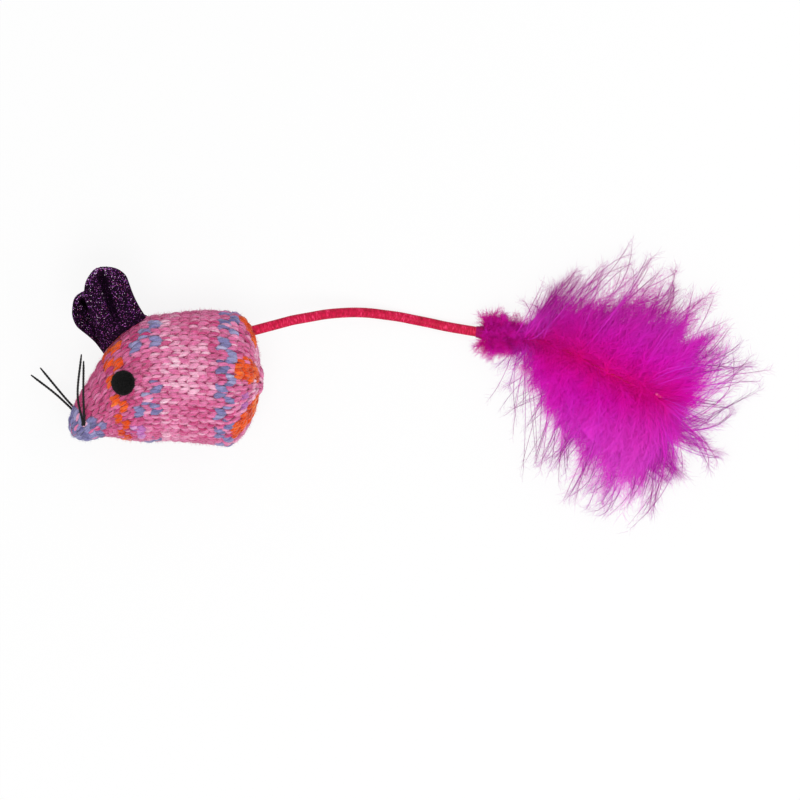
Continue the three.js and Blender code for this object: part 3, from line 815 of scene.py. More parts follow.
def satin_finish(name, length):
    """Crimson satin: fine threads wrapped round a cord of this length, with painted sheen in light and dark
    patches and painted glints where the threads catch the light.
    """
    finish = Finish(name, {"Roughness": 0.45, "Specular IOR Level": 0.2})
    uv = finish.uv()
    threads, patches = (
        finish.noise(finish.vector("MULTIPLY", uv, (length / spacing, count, 0)), 1.0)
        for spacing, count, _ in (SATIN_THREADS, SATIN_SHEEN_PATCHES)
    )
    weighted_sheen = finish.math("MULTIPLY", patches, SATIN_SHEEN_PATCHES[2])
    share = finish.math("MULTIPLY_ADD", threads, SATIN_THREADS[2], weighted_sheen)
    # Crimson darker and lighter by the threads and patches, as painted sheen
    cloth = finish.mix(finish.spread(share, 0.3, 0.68), dye(146, 0, 34), dye(240, 4, 80))
    glint = finish.math("MULTIPLY", finish.spread(threads, 0.5, 0.7), finish.spread(patches, 0.42, 0.66))
    finish.paint(finish.mix(glint, cloth, dye(255, 84, 140)))
    finish.bump(threads, 0.5, 0.0003)
    return finish.material


def marabou_finish(name):
    """Unevenly dyed down: u runs from the shaft to the tip of the fluff and v is each barb's own tone. Its
    side toward -Y is painted lighter and its side toward +Y darker, as painted light and shade.
    """
    dyes, painted_light_share = MARABOU[name]
    sockets = {"Roughness": 0.8, "Specular IOR Level": 0.1, "Sheen Weight": 0.6, "Sheen Roughness": 0.5}
    finish = Finish(name, sockets)
    finish.set("Sheen Tint", dye(255, 24, 215))
    outward, tone = finish.split(finish.uv())[:2]
    core, body, edge = (finish.mix(tone, *(dye(*shade) for shade in DYES[own])) for own in dyes)
    inner = finish.mix(finish.spread(outward, 0.05, 0.55), core, body)
    fluff = finish.mix(finish.spread(outward, 0.5, 1.0), inner, edge)
    across = finish.split(finish.place())[1]
    # Painted light on the side toward -Y and painted shade on the side toward +Y
    pale = finish.math("MULTIPLY", finish.spread(across, -0.006, -0.03), painted_light_share)
    deep = finish.math("MULTIPLY", finish.spread(across, 0.008, 0.026), 0.4)
    fluff = finish.mix(pale, fluff, dye(255, 130, 245))
    finish.paint(finish.mix(deep, fluff, dye(170, 24, 112)))
    return finish.material


# Knitted cover


def cap(share, angle, length):
    """Size and overhang of a rounded end, by the share of the way from its pole to its rim."""
    turn = np.clip(share, 0, 1) * angle
    size = np.sin(turn) / math.sin(angle)
    return size, length * (1 - (1 - np.cos(turn)) / (1 - math.cos(angle)))


def cover_rings(stations):
    """Frames of the cover's rings: 0 is the nose's pole, 1 to 2 the rings above, 3 the rump's pole."""
    rings = np.array(COVER_RINGS)
    inner = np.clip(stations - 1, 0, 1)
    back = spline(rings[:, [0, 1, 4]], inner)
    belly = spline(np.column_stack([rings[:, 2:4], np.zeros(len(rings))]), inner)
    rise = back[:, :2] - belly[:, :2]
    height = np.linalg.norm(rise, axis=1) / 2
    rise = rise / (2 * height[:, None])
    forward = np.column_stack([rise[:, 1], -rise[:, 0]])
    nose, behind = cap(stations, NOSE_CAP_ANGLE, NOSE_CAP_LENGTH)
    rump, ahead = cap(3 - stations, RUMP_CAP_ANGLE, RUMP_CAP_LENGTH)
    centre = (back[:, :2] + belly[:, :2]) / 2 + forward * (ahead - behind)[:, None]
    return centre, rise, height * nose * rump, back[:, 2] * nose * rump


def fuller(value):
    """Sine or cosine of a section that is fuller than an ellipse."""
    return np.sign(value) * np.abs(value) ** (2 / SECTION_POWER)


def cover_points(stations, angles):
    """Points of the cover's outer face. Angle 0 is on the back and a quarter turn on the left flank."""
    centre, rise, height, depth = cover_rings(stations)
    middle = max(ring[4] for ring in COVER_RINGS) - REST_CUT
    flat = centre[:, None] + rise[:, None] * (height[:, None] * fuller(np.cos(angles)))[..., None]
    level = middle + depth[:, None] * fuller(np.sin(angles))
    return np.concatenate([flat, level[..., None]], axis=2)


class KnitSurface:
    """The cover by length along the left flank, from the rump's mouth, and share of the way round."""

    COLUMNS = 192
    ROW = 0.25
    STATIONS = 420
    RING_POINTS = 385
    FIRST_STATION = 0.03

    def __init__(self):
        last_height = float(cover_rings(np.array([2.0]))[2][0])
        mouth = 3 - math.asin(MOUTH_RADIUS / last_height * math.sin(RUMP_CAP_ANGLE)) / RUMP_CAP_ANGLE
        stations = np.linspace(mouth, self.FIRST_STATION, self.STATIONS)
        rings = cover_points(stations, np.linspace(0, 2 * math.pi, self.RING_POINTS))
        shares = np.linspace(0, 1, self.COLUMNS, endpoint=False)
        even = np.array([evened(ring, shares) for ring in rings])
        along = run_length(even[:, self.COLUMNS // 4])
        self.length = along[-1]
        self.rows = np.arange(0, self.length, self.ROW)
        columns = [np.interp(self.rows, along, column) for column in even.reshape(len(even), -1).T]
        self.points = np.stack(columns, axis=1).reshape(len(self.rows), self.COLUMNS, 3)
        self.girth = np.interp(self.rows, along, [run_length(ring)[-1] for ring in rings])
        ahead = np.gradient(self.points, axis=0)
        around = np.roll(self.points, -1, axis=1) - np.roll(self.points, 1, axis=1)
        self.normals = unit(np.cross(ahead, around))
        outward = self.points - self.points.mean(axis=1, keepdims=True)
        if np.sum(self.normals * outward) < 0:
            self.normals = -self.normals

    def sample(self, table, length, share):
        row = np.clip(length / self.ROW, 0, len(self.rows) - 1.001)
        column = (share % 1) * self.COLUMNS
        i, j = np.floor(row).astype(int), np.floor(column).astype(int)
        a, b = (row - i)[..., None], (column - j)[..., None]
        j, k = j % self.COLUMNS, (j + 1) % self.COLUMNS
        low = table[i, j] * (1 - b) + table[i, k] * b
        high = table[i + 1, j] * (1 - b) + table[i + 1, k] * b
        return low * (1 - a) + high * a

    def at(self, length, share):
        return self.sample(self.points, length, share), unit(self.sample(self.normals, length, share))

    def girth_at(self, length):
        return np.interp(length, self.rows, self.girth)

    def over(self, x):
        """Length along the flank at which it passes over a place in plan."""
        flank = self.points[:, self.COLUMNS // 4, 0]
        return float(np.interp(-x, -flank, self.rows))

    def nearest(self, point):
        """Point and normal of the cover nearest to a point."""
        gap = np.linalg.norm(self.points - point, axis=2)
        row, column = np.unravel_index(np.argmin(gap), gap.shape)
        return self.points[row, column], self.normals[row, column]


def yarn_of(course, wale, share, point):
    """Which yarn a stitch has. Course 0 is the motif's rear course and higher ones lie nearer the nose."""
    x, y = point[:2]
    if course >= LAST_HEAD_COURSE and y < -24.4 - 0.5 * x and x < -21:
        return SLATE
    if (course, wale) in PURPLE_STITCHES:
        return PURPLE
    if (course, (wale - MOTIF_START) % MOTIF_WALES) in SLATE_MOTIF:
        return SLATE
    if (course, wale % 2) in ORANGE_DOTS:
        return ORANGE
    if (course, wale % 2) in SLATE_DOTS:
        return SLATE
    by_tail = abs(share - 0.5) > 0.35 and course <= RUMP_COURSE - 3
    half_lump = 0.022 if course == RUMP_COURSE else 0.036
    in_lump = abs((share - LUMP_START) % LUMP_EVERY - LUMP_EVERY / 2) < half_lump
    if course <= RUMP_COURSE and in_lump and share < LUMP_END and not by_tail:
        return ORANGE
    if course == RUMP_COURSE - 1 and 0.28 < share < 0.34:
        return PURPLE
    return PINK


def course_wales(surface, course, middle):
    """How many wales a course has, and how far the first one lies from the back."""
    if course <= RUMP_COURSE:
        return max(8, round(surface.girth_at(middle) / RUMP_WALE_WIDTH)), 0.5
    if course <= LAST_BODY_COURSE:
        return WALES, WALE_PHASE + WALE_DRIFT * min(1, max(0, -course / 8))
    if course <= LAST_HEAD_COURSE:
        return HEAD_WALES, 0.5
    return max(7, round(surface.girth_at(middle) / MUZZLE_WALE_WIDTH)), 0.5


def knit_stitches(surface):
    """Start length, middle share, wales in its course, yarn, course and place of every stitch."""
    motif = surface.over(MOTIF_X) - STITCH_MIDDLE * COURSE_HEIGHT
    first = -int(motif // COURSE_HEIGHT) - 1
    last = int((surface.length - motif) // COURSE_HEIGHT)
    stitches = []
    for course in range(first, last + 1):
        start = motif + course * COURSE_HEIGHT
        middle = start + STITCH_MIDDLE * COURSE_HEIGHT
        wales, phase = course_wales(surface, course, middle)
        for wale in range(wales):
            share = (wale + phase) / wales
            point = surface.at(np.array([middle]), np.array([share]))[0][0]
            stitches.append((start, share, wales, yarn_of(course, wale, share, point), course, *point))
    return np.array(stitches)


def stitch_tones(stitches, rng):
    """How pale each stitch is: in patches along the yarn, with painted light over the middle of the flank
    and painted shade toward the nose.
    """
    path = stitches[:, 4] * WALES + stitches[:, 1] * stitches[:, 2]
    x, y = stitches[:, 5], stitches[:, 6]
    patch = drift(path / 4.0, 11) * 0.45 + drift(path / 29.0, 12) * 0.35
    # Paler over the middle of the flank as painted light, and darker toward the nose as painted shade
    pale = bell(x - 6, 9) * bell(y - 6, 12)
    flush = bell(x - 7, 6) * bell(y + 9, 5)
    painted_head_shade = smoothstep(-x, 0, 13)
    band = bell(x - 19, 4)
    tone = 0.25 + 0.48 * patch + 0.34 * pale - 0.05 * flush - 0.26 * painted_head_shade - 0.24 * band
    return np.where(stitches[:, 3] == PINK, tone, 0.2 + 0.5 * patch) + rng.normal(0, 0.06, len(path))


def yarn_colours(yarn, tones):
    """Colours of yarn by how pale it is, from 0 to 1."""
    deep, middle, light = (colour(*tone) for tone in YARN_TONES[yarn])
    tones = np.clip(tones, 0, 1)[:, None]
    low = deep + (middle - deep) * np.minimum(tones * 2, 1)
    return low + (light - middle) * np.maximum(tones * 2 - 1, 0)


def knit_legs(surface, stitches, side, rng):
    """Centre lines and half widths of one leg of every V, which dives under the stitches next to it."""
    along = np.linspace(0, 1, LEG_RINGS)
    start, share, wales = (stitches[:, i:i + 1] for i in range(3))
    reach = between(LEG_REACH, along) + rng.normal(0, LEG_JITTER["along"], start.shape)
    length = start + COURSE_HEIGHT * reach
    shift = rng.normal(0, LEG_JITTER["across"], start.shape)
    place = share + side * between(LEG_SPREAD, along) / wales + shift / wales
    half = LEG_HALF_WIDTH * np.minimum(surface.girth_at(length) / wales, WIDEST_WALE)
    plump = 0.62 + 0.38 * np.sin(math.pi * along) ** 0.7
    bulk = np.where(stitches[:, 3:4] == PINK, 1.0, MOTIF_BULK)
    wide = half * plump * bulk * (1 + rng.normal(0, LEG_JITTER["width"], start.shape))
    point, normal = surface.at(length, place)
    dive = LEG_DIVE / bulk**3 * np.abs(2 * along - 1) ** 2.4
    sink = LEG_FLATNESS * half * (1 + dive)
    return point - normal * sink[..., None], wide, normal


def leg_strands(centre, wide, normal, side, rng):
    """The strands of yarn that twist round each other in every leg."""
    across, rise = tube_frames(centre, normal)
    along = np.linspace(0, 1, centre.shape[1])
    lead = rng.uniform(0, 1, (len(centre), 1))
    strands = []
    for strand in range(YARN_STRANDS):
        turn = 2 * math.pi * (strand / YARN_STRANDS + lead + side * YARN_TURNS * along)
        aside = (STRAND_OFFSET * wide * np.cos(turn))[..., None] * across
        lift = (STRAND_OFFSET * LEG_FLATNESS * wide * np.sin(turn))[..., None] * rise
        thick = wide * rng.uniform(*STRAND_THICKNESS, (len(centre), 1))
        strands.append(tubes(centre + aside + lift, thick, thick * LEG_FLATNESS, LEG_SIDES, normal))
    return strands


def yarn_piece(name, skins, colours, pressed=False):
    """Strands of yarn, each with its own cell of the texture."""
    columns = math.ceil(math.sqrt(sum(skin.count for skin in skins)))
    piece = skin_piece(name, skins, yarn_finish(name, columns), "mouse", pressed)
    set_cell_uv(piece, skins, columns)
    set_tint(piece, np.concatenate(colours))
    return piece


def make_yarn(name, surface, stitches, tones, rng):
    """One piece of stitches that share a yarn."""
    skins = []
    colours = []
    yarn = int(stitches[0, 3])
    for side in (-1, 1):
        for skin in leg_strands(*knit_legs(surface, stitches, side, rng), side, rng):
            own = tones + rng.normal(0, STRAND_UNEVEN, len(tones))
            heather = (rng.random(len(tones)) < PINK_STRANDS[yarn])[:, None]
            skins.append(skin)
            colours.append(np.where(heather, yarn_colours(PINK, own), yarn_colours(yarn, own))[skin.tube])
    return yarn_piece(name, skins, colours, pressed=True)


def make_knit(surface):
    rng = np.random.default_rng(21)
    stitches = knit_stitches(surface)
    tones = stitch_tones(stitches, rng)
    yarn, course = stitches[:, 3], stitches[:, 4]
    groups = {
        "knit_pink_front": (yarn == PINK) & (course >= 1),
        "knit_pink_middle": (yarn == PINK) & (course < 1) & (course > REAR_COURSE),
        "knit_pink_rear": (yarn == PINK) & (course <= REAR_COURSE),
        "knit_slate": yarn == SLATE,
        "knit_orange": yarn == ORANGE,
        "knit_purple": yarn == PURPLE,
    }
    pieces = {
        name: make_yarn(name, surface, stitches[chosen], tones[chosen], rng)
        for name, chosen in groups.items()
    }
    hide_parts("knit_body")
    return stitches, tones


def make_lining(surface):
    """The closed inside of the knit, which shows between the stitches, coloured darker than the yarn as
    painted shade.
    """
    rows = np.arange(0, len(surface.rows), 4)
    rings = surface.points[rows] - surface.normals[rows] * LINING_DEPTH
    skin = Skin(rings[None, ::-1, ::2])
    finish = grain_finish("knit_lining_shade")
    lining = skin_piece("knit_lining_shade", [skin], finish, "mouse", pressed=True)


def make_fuzz(surface, stitches, tones):
    """Loose fibres that stand off the yarn, painted paler than it as a highlight."""
    rng = np.random.default_rng(22)
    pick = rng.integers(0, len(stitches), FUZZ_COUNT)
    length = stitches[pick, 0] + COURSE_HEIGHT * rng.random(FUZZ_COUNT) * 1.1
    share = stitches[pick, 1] + (rng.random(FUZZ_COUNT) - 0.5) / stitches[pick, 2]
    point, normal = surface.at(length, share)
    out = unit(normal * 0.4 + unit(rng.normal(size=(FUZZ_COUNT, 3))))
    out += normal * np.maximum(0, 0.1 - np.sum(out * normal, axis=1))[:, None]
    bend = unit(rng.normal(size=(FUZZ_COUNT, 3))) * 0.35
    along = np.linspace(0, 1, FUZZ_ROWS)
    reach = rng.uniform(*FUZZ_LENGTH, FUZZ_COUNT)
    centre = hair_lines(point - normal * FUZZ_DEPTH, out, bend, reach, along)
    skin = spikes(centre, np.broadcast_to(FUZZ_RADIUS * (1 - 0.5 * along), (FUZZ_COUNT, FUZZ_ROWS)))
    finish = tint_finish("yarn_fuzz", {"Roughness": 1.0, "Sheen Weight": 0.3})
    fuzz = skin_piece("knit_fuzz", [skin], finish, "mouse", pressed=True)
    own = np.zeros((FUZZ_COUNT, 3))
    for yarn in YARN_TONES:
        chosen = stitches[pick, 3] == yarn
        own[chosen] = yarn_colours(yarn, tones[pick][chosen] + FUZZ_PAINTED_HIGHLIGHT)
    set_tint(fuzz, own[skin.tube])


def make_gather(surface):
    """Yarn drawn together over the mouth at the rump."""
    rng = np.random.default_rng(23)
    pole = surface.points[0].mean(axis=0)
    axis = unit(surface.normals[0].mean(axis=0))
    across = unit(np.cross(UP, axis))
    shift = rng.uniform(-0.2, 0.2, GATHER_STRANDS)
    turn = 2 * math.pi * (np.arange(GATHER_STRANDS) + shift) / GATHER_STRANDS
    spoke = spokes(turn, across, np.cross(axis, across))
    rows = len(GATHER_REACH)
    swirl = np.linspace(0, GATHER_SWIRL, rows) * rng.uniform(0.4, 1.2, (GATHER_STRANDS, 1))
    centre = pole + spoke[:, None] * GATHER_REACH[:, None] + axis * GATHER_HEIGHT[:, None]
    centre = centre + np.cross(axis, spoke)[:, None] * swirl[..., None]
    wide = np.broadcast_to(GATHER_WIDTH, (GATHER_STRANDS, rows))
    skins = leg_strands(centre, wide, np.broadcast_to(axis, centre.shape), 1, rng)
    colours = [yarn_colours(PINK, rng.normal(0.45, 0.2, GATHER_STRANDS))[skin.tube] for skin in skins]
    gather = yarn_piece("gathered_yarn", skins, colours)
    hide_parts("closing_gather")


# Eyes


def felt_hairs(seat, axes, rng):
    """Short hairs that stand off the front of an eye."""
    across, ahead, normal = axes
    spin = rng.uniform(0, 2 * math.pi, FELT_HAIRS)
    away = EYE_RADIUS * np.sqrt(rng.random(FELT_HAIRS)) * 0.99
    spoke = spokes(spin, across, ahead)
    front = EYE_HEIGHTS[:EYE_RIM:-1] * EYE_THICKNESS
    lift = np.interp(away / EYE_RADIUS, EYE_SHARES[:EYE_RIM:-1], front) - away**2 / EYE_DOME
    foot = seat + spoke * away[:, None] + normal * (lift - 0.1)[:, None]
    loose = rng.normal(0, 0.7, (FELT_HAIRS, 3))
    out = unit(spoke * (away / EYE_RADIUS)[:, None] * 0.8 + normal * 0.3 + loose)
    reach = rng.uniform(*FELT_HAIR_LENGTH, FELT_HAIRS)
    centre = hair_lines(foot, out, np.zeros(out.shape), reach, np.linspace(0, 1, 3))
    return spikes(centre, np.full(centre.shape[:2], FELT_HAIR_RADIUS))


def make_eye(side, surface):
    """Slightly ragged felt disc that lies on the curve of the knit."""
    rng = np.random.default_rng(31)
    low, high = (np.array(corner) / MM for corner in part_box(f"{side}_eye"))
    middle = (low + high) / 2
    nearest, normal = surface.nearest(middle)
    seat = middle - normal * (middle - nearest).dot(normal)
    across = unit(np.cross(UP, normal) + np.array([1e-6, 0, 0]))
    ahead = np.cross(normal, across)
    turn = round_angles(EYE_SIDES)
    ragged = 1 + 0.012 * np.sin(3 * turn + 1.0) + 0.008 * np.sin(11 * turn) + rng.normal(0, 0.006, EYE_SIDES)
    radius = EYE_RADIUS * EYE_SHARES[:, None] * ragged
    height = EYE_HEIGHTS[:, None] * EYE_THICKNESS - radius**2 / EYE_DOME
    disc = Skin((seat + radius[..., None] * spokes(turn, across, ahead) + height[..., None] * normal)[None])
    skins = [disc, felt_hairs(seat, (across, ahead, normal), rng)]
    eye = skin_piece(f"{side}_felt_eye", skins, grain_finish("felt"), "mouse", pressed=True)
    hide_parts(f"{side}_eye")


# Ears


def ear_axes(side):
    """Base, directions across, up and out of an ear, and how much its base slants."""
    ear = EARS[side]
    origin = joint_point(f"{side}_ear_flop")
    axis = joint_axis(f"{side}_ear_flop")
    along = direction(ear["heading"], ear["lean"])
    face = unit(np.cross(axis, along))
    across = unit(np.cross(along, face))
    return origin, across, along, face, axis.dot(along) / axis.dot(across)


def ear_surface(side, across_share, rise_share):
    """Middle of the fabric at shares of its width and length, as offsets along the ear's axes."""
    shoulder = EAR_LENGTH - EAR_HALF_WIDTH
    split = shoulder / EAR_LENGTH
    bow = np.clip((rise_share - split) / (1 - split), 0, 1) * EAR_BOW
    height = np.where(rise_share < split, rise_share * EAR_LENGTH, shoulder + EAR_HALF_WIDTH * np.sin(bow))
    x = EAR_HALF_WIDTH * np.cos(bow) * across_share
    slant = ear_axes(side)[4]
    rise = height / EAR_LENGTH
    flares = (x > 0) | (side == "right")
    flare = np.where(flares, np.clip(1 - rise / 0.5, 0, 1) ** 2, 0)
    x = x * (1 + EAR_FLARE * flare)
    form = smoothstep(rise, 0.0, 0.4)
    cup = EAR_CUP * (x / EAR_HALF_WIDTH) ** 2
    fold = np.exp(-np.abs(x / EAR_CREASE_WIDTH) ** 1.5)
    crease = EAR_CREASE_DEPTH * fold * (1 - smoothstep(rise, 0.75, 1.0))
    ripple = 0.12 * np.sin(1.1 * x + 0.5 * height) + 0.1 * np.sin(0.9 * height - 0.7 * x + 1.0)
    z = form * (cup - crease) + EARS[side]["curl"] * rise * rise + ripple * form
    return x, slant * x * (1 - rise) + height - EAR_FLARE_DROP * np.abs(x) * flare, z


def ear_point(side, across_share, rise_share, lift):
    """Points at a height over the middle of the fabric."""
    origin, across, along, face, _ = ear_axes(side)
    x, y, z = ear_surface(side, across_share, rise_share)
    offsets = (x[..., None] * across, y[..., None] * along, (z + lift)[..., None] * face)
    return origin + sum(offsets)


def bend_ear(piece):
    """Bakes the placement of an ear's piece into its mesh."""
    bend_at(piece)


def edge_swell(across):
    """Share of the fabric's thickness, which rounds off at its sides."""
    return (1 - np.abs(across) ** 8) ** 0.5


def make_ear(side, flecks):
    shares = np.sin(np.linspace(-math.pi / 2, math.pi / 2, EAR_COLUMNS))
    across, rise = np.meshgrid(shares, np.linspace(-0.02, 1, EAR_ROWS))
    swell = edge_swell(across) * np.clip((1.03 - rise) / 0.06, 0, 1) ** 0.5
    half = EAR_THICKNESS / 2 * np.maximum(swell, 0.12)
    front = ear_point(side, across, rise, half)
    back = ear_point(side, across, rise, -half)
    skin = Skin(np.concatenate([front, back[:, ::-1]], axis=1)[None])
    ear = skin_piece(f"{side}_ear_fabric", [skin], glitter_finish(), pressed=True)
    bend_ear(ear)
    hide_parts(f"{side}_ear")
    glitter = make_flecks(side, flecks)


def make_flecks(side, material):
    """Flakes of foil on both faces of an ear, each tilted its own way, the near-white ones painted as
    glints.
    """
    rng = np.random.default_rng(FLECK_SEEDS[side])
    palette = np.array([colour(*tone) for tone in FLECK_COLOURS])
    skins = []
    tones = []
    for facing in (1, -1):
        across = rng.uniform(0.16, 0.97, FLECKS_PER_FACE) * rng.choice((-1, 1), FLECKS_PER_FACE)
        rise = 0.02 + 0.97 * rng.random(FLECKS_PER_FACE) ** 0.75
        lift = facing * (EAR_THICKNESS / 2 * np.maximum(edge_swell(across), 0.3) + 0.04)
        centre = ear_point(side, across, rise, lift)
        face = facing * ear_axes(side)[3]
        tilt = unit(face + rng.normal(0, FLECK_TILT, (FLECKS_PER_FACE, 3)))
        axis = centre[:, None] + tilt[:, None] * FLECK_THICKNESS[None, :, None]
        wide = rng.uniform(*FLECK_SIZE, FLECKS_PER_FACE)[:, None] * FLECK_PROFILE
        skins.append(tubes(axis, wide, wide, FLECK_SIDES, FLECK_TOWARD))
        pick = rng.choice(len(palette), FLECKS_PER_FACE, p=FLECK_SHARES)
        tones.append(palette[pick][skins[-1].tube])
    flecks = skin_piece(f"{side}_ear_flecks", skins, material, pressed=True)
    bend_ear(flecks)
    set_tint(flecks, np.concatenate(tones))
    return flecks


# Whiskers


def make_whisker(name, material):
    side = name.split("_")[0]
    start, bend, tip = WHISKERS[name]
    root = joint_point(f"{side}_whisker_sweep") + np.array([start, 0, 0])
    below, inward = WHISKER_INSIDE
    inside = root - np.array([0, below, inward if side == "left" else -inward])
    path = even_curve([inside, root, root + np.array(bend), root + np.array(tip)], WHISKER_ROWS)
    taper = WHISKER_DIAMETER / 2 * np.interp(np.linspace(0, 1, WHISKER_ROWS), *WHISKER_TAPER)[None]
    skin = tubes(path[None], taper, taper * 0.95, WHISKER_SIDES, WHISKER_TOWARD, **WHISKER_TWIST)
    whisker = skin_piece(f"{name}_thread", [skin], material)
    bend_at(whisker)
    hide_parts(name)


# Tail


def make_cord(name, finish_name, path):
    """Round cord with threads laid round it, and its length."""
    length = run_length(path)[-1]
    lay = {"lobes": CORD_STRANDS, "lobe_depth": CORD_RIB, "turns": CORD_STRANDS * length / CORD_LAY}
    skin = round_tube(path, CORD_DIAMETER / 2, CORD_SIDES, **lay)
    piece = skin_piece(name, [skin], satin_finish(finish_name, length))
    set_cell_uv(piece, [skin], 1)
    return piece, length


def make_tail():
    swing, lift, plume = (joint_point(name) for name in ("tail_swing", "tail_lift", "plume_swing"))
    heading = direction(TAIL_ROOT_HEADING, -TAIL_ROOT_DROOP)
    join = lift - heading * CORD_JOIN
    inside = swing - direction(TAIL_ROOT_HEADING) * TAIL_ROOT_INSIDE
    root_path = even_curve([inside, swing, swing + heading * 3, join], ROOT_ROWS)
    root, _ = make_cord("tail_root_cord", "satin_cord_root", root_path)
    bend_at(root)
    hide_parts("tail_root", "tail_anchor")
    cord_start = lift + heading * (CORD_DIAMETER / 2 + CORD_GAP)
    end = plume + direction(PLUME_HEADING) * 1.5
    path = even_curve([join, lift, cord_start, *CORD_ROUTE, plume, end], CORD_ROWS)
    cord, length = make_cord("tail_satin_cord", "satin_cord", path)
    bend_at(cord)
    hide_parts("tail_cord")


# Plume


def plume_axes():
    """Where the plume turns, and its directions along and across."""
    axis = direction(PLUME_HEADING)
    return joint_point("plume_swing"), axis, unit(np.cross(UP, axis))


def make_binding(material):
    """Thread wound round the quills and the cord's end."""
    pivot, axis, across = plume_axes()
    radius = CORD_DIAMETER / 2
    thread = BINDING_THREAD / 2
    length = radius + BINDING_LENGTH
    turns = int(length / BINDING_THREAD)
    steps = turns * BINDING_STEPS
    along = np.linspace(-0.3 * radius, length - thread, steps)
    spin = np.linspace(0, 2 * math.pi * turns, steps)
    waist = np.interp(along, (-radius, radius, length * 0.8, length), (0.75, 1, 1, 0.8))
    hug = waist * (BINDING_RADIUS - thread)
    path = pivot + axis * along[:, None] + spokes(spin, across, UP) * hug[:, None]
    winding = round_tube(path, thread, BINDING_SIDES, axis)
    core_rows = np.linspace(-0.25 * radius, length - 2 * thread, 12)
    core_path = pivot + axis * core_rows[:, None]
    core = round_tube(core_path, BINDING_RADIUS - BINDING_THREAD, BINDING_CORE_SIDES)
    binding = skin_piece("plume_whipping", [winding, core], material, "plume")
    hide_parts("plume_binding")


def quill_route(route, lift):
    """Path of a quill from the end of the binding."""
    pivot, axis, _ = plume_axes()
    start = pivot + axis * (CORD_DIAMETER / 2 + BINDING_LENGTH + CORD_GAP) + UP * lift
    return even_curve([start, *route], QUILL_ROWS)


def make_quill(name, path, material):
    taper = QUILL_DIAMETER / 2 * np.linspace(1, 0.45, len(path))[None]
    skin = tubes(path[None], taper, taper * 0.85, QUILL_SIDES)
    quill = skin_piece(f"{name}_shaft", [skin], material, "plume")
    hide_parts(name)


def make_quill_end(quill, material):
    """The cut end of the top quill, which turns up out of the down."""
    path = even_curve([quill[-1], (quill[-1] + QUILL_END) / 2, np.array(QUILL_END)], QUILL_END_ROWS)
    skin = round_tube(path, 0.4 * QUILL_DIAMETER, QUILL_END_SIDES)
    skin_piece("top_quill_end", [skin], material, "plume")


def arc_point(ends, share):
    """Points of quadratic arcs given by their three control points."""
    first, middle, last = ends
    return (1 - share) ** 2 * first + 2 * share * (1 - share) * middle + share**2 * last


def settle(points):
    """Lays what would go through the table on it."""
    height = points[..., 2]
    points[..., 2] = np.where(height < TABLE, TABLE + 0.25 * (TABLE - height), height)
    return points


def along_shade(first, last):
    """Place in the colours of the down by the share of the way along a barb."""
    return lambda points, share: between((first, last), share)


def spread_shade(quill):
    """The same by how far a point lies from the quill, seen from above, whatever its share."""
    def place(points, share):
        gaps = points[:, None, :2] - quill[None, ::4, :2]
        distance = np.sqrt((gaps**2).sum(axis=2).min(axis=1))
        return CORE_SHADE * np.clip(distance / SHADE_REACH, 0, 1) ** 0.5
    return place


def barb_skin(fluff, ends, tone, shade):
    """The thin shafts of barbs, and where each of their points is in the colours of the down."""
    radius, taper = fluff["barb"]
    along = np.linspace(0, 1, BARB_ROWS)
    centre = settle(arc_point([end[:, None] for end in ends], along[None, :, None]))
    skin = spikes(centre, radius * np.broadcast_to(1 - taper * along, (len(tone), BARB_ROWS)))
    return skin, np.column_stack([shade(skin.vertices, skin.row), tone[skin.tube]])


def hair_skin(fluff, ends, tone, shade, rng):
    """Fine curved hairs along barbs, which crowd to the tip where crowding is under 1."""
    per_barb = fluff["hairs"]
    share = (np.arange(per_barb) + rng.random((len(tone), per_barb))) / per_barb
    share = 0.04 + 0.95 * share ** fluff["crowding"]
    lines = [end[:, None] for end in ends]
    root = arc_point(lines, share[..., None])
    ahead = unit(arc_point(lines, share[..., None] + 0.02) - root).reshape(-1, 3)
    root = root.reshape(-1, 3)
    share = share.ravel()
    away = rng.normal(size=root.shape)
    away = unit(away - np.sum(away * ahead, axis=1, keepdims=True) * ahead)
    slope = np.radians(rng.uniform(*HAIR_SLOPE, (len(root), 1)))
    out = np.cos(slope) * ahead + np.sin(slope) * away
    length = between(fluff["length"], share) * rng.uniform(0.65, 1.25, len(root))
    curl = unit(rng.normal(size=root.shape)) * 0.3 + ahead * 0.2
    centre = hair_lines(root, out, curl, length, HAIR_ROWS)
    thick = np.broadcast_to(fluff["radius"] * HAIR_TAPER, centre.shape[:2])
    skin = spikes(settle(centre), thick, flatness=HAIR_FLATNESS)
    place = np.clip(shade(root, share)[skin.tube] + 0.2 * skin.row, 0, 1)
    tones = np.repeat(tone, per_barb) + rng.normal(0, 0.08, len(root))
    return skin, np.column_stack([place, np.clip(tones, 0, 1)[skin.tube]])


def down_piece(name, kind, ends, tone, material, rng, quill=None):
    """Barbs of a kind of fluff and the hairs along them, shaded by distance from a quill if it is given."""
    if quill is None:
        barb_shade, hair_shade = (along_shade(*shade) for shade in FLUFF_SHADES[kind])
    else:
        barb_shade = hair_shade = spread_shade(quill)
    barbs, barb_places = barb_skin(FLUFF[kind], ends, tone, barb_shade)
    hairs, hair_places = hair_skin(FLUFF[kind], ends, tone, hair_shade, rng)
    piece = skin_piece(name, [barbs, hairs], material, "plume", smooth=False)
    set_vertex_uv(piece, np.concatenate([barb_places, hair_places]))
    return piece


def core_reach(angle):
    """Distance from the plume's middle to the edge of its dense core, which has three blunt corners."""
    lobes = [depth * np.cos(count * (angle - math.radians(heading))) for count, depth, heading in CORE_LOBES]
    return CORE_RADIUS + sum(lobes)


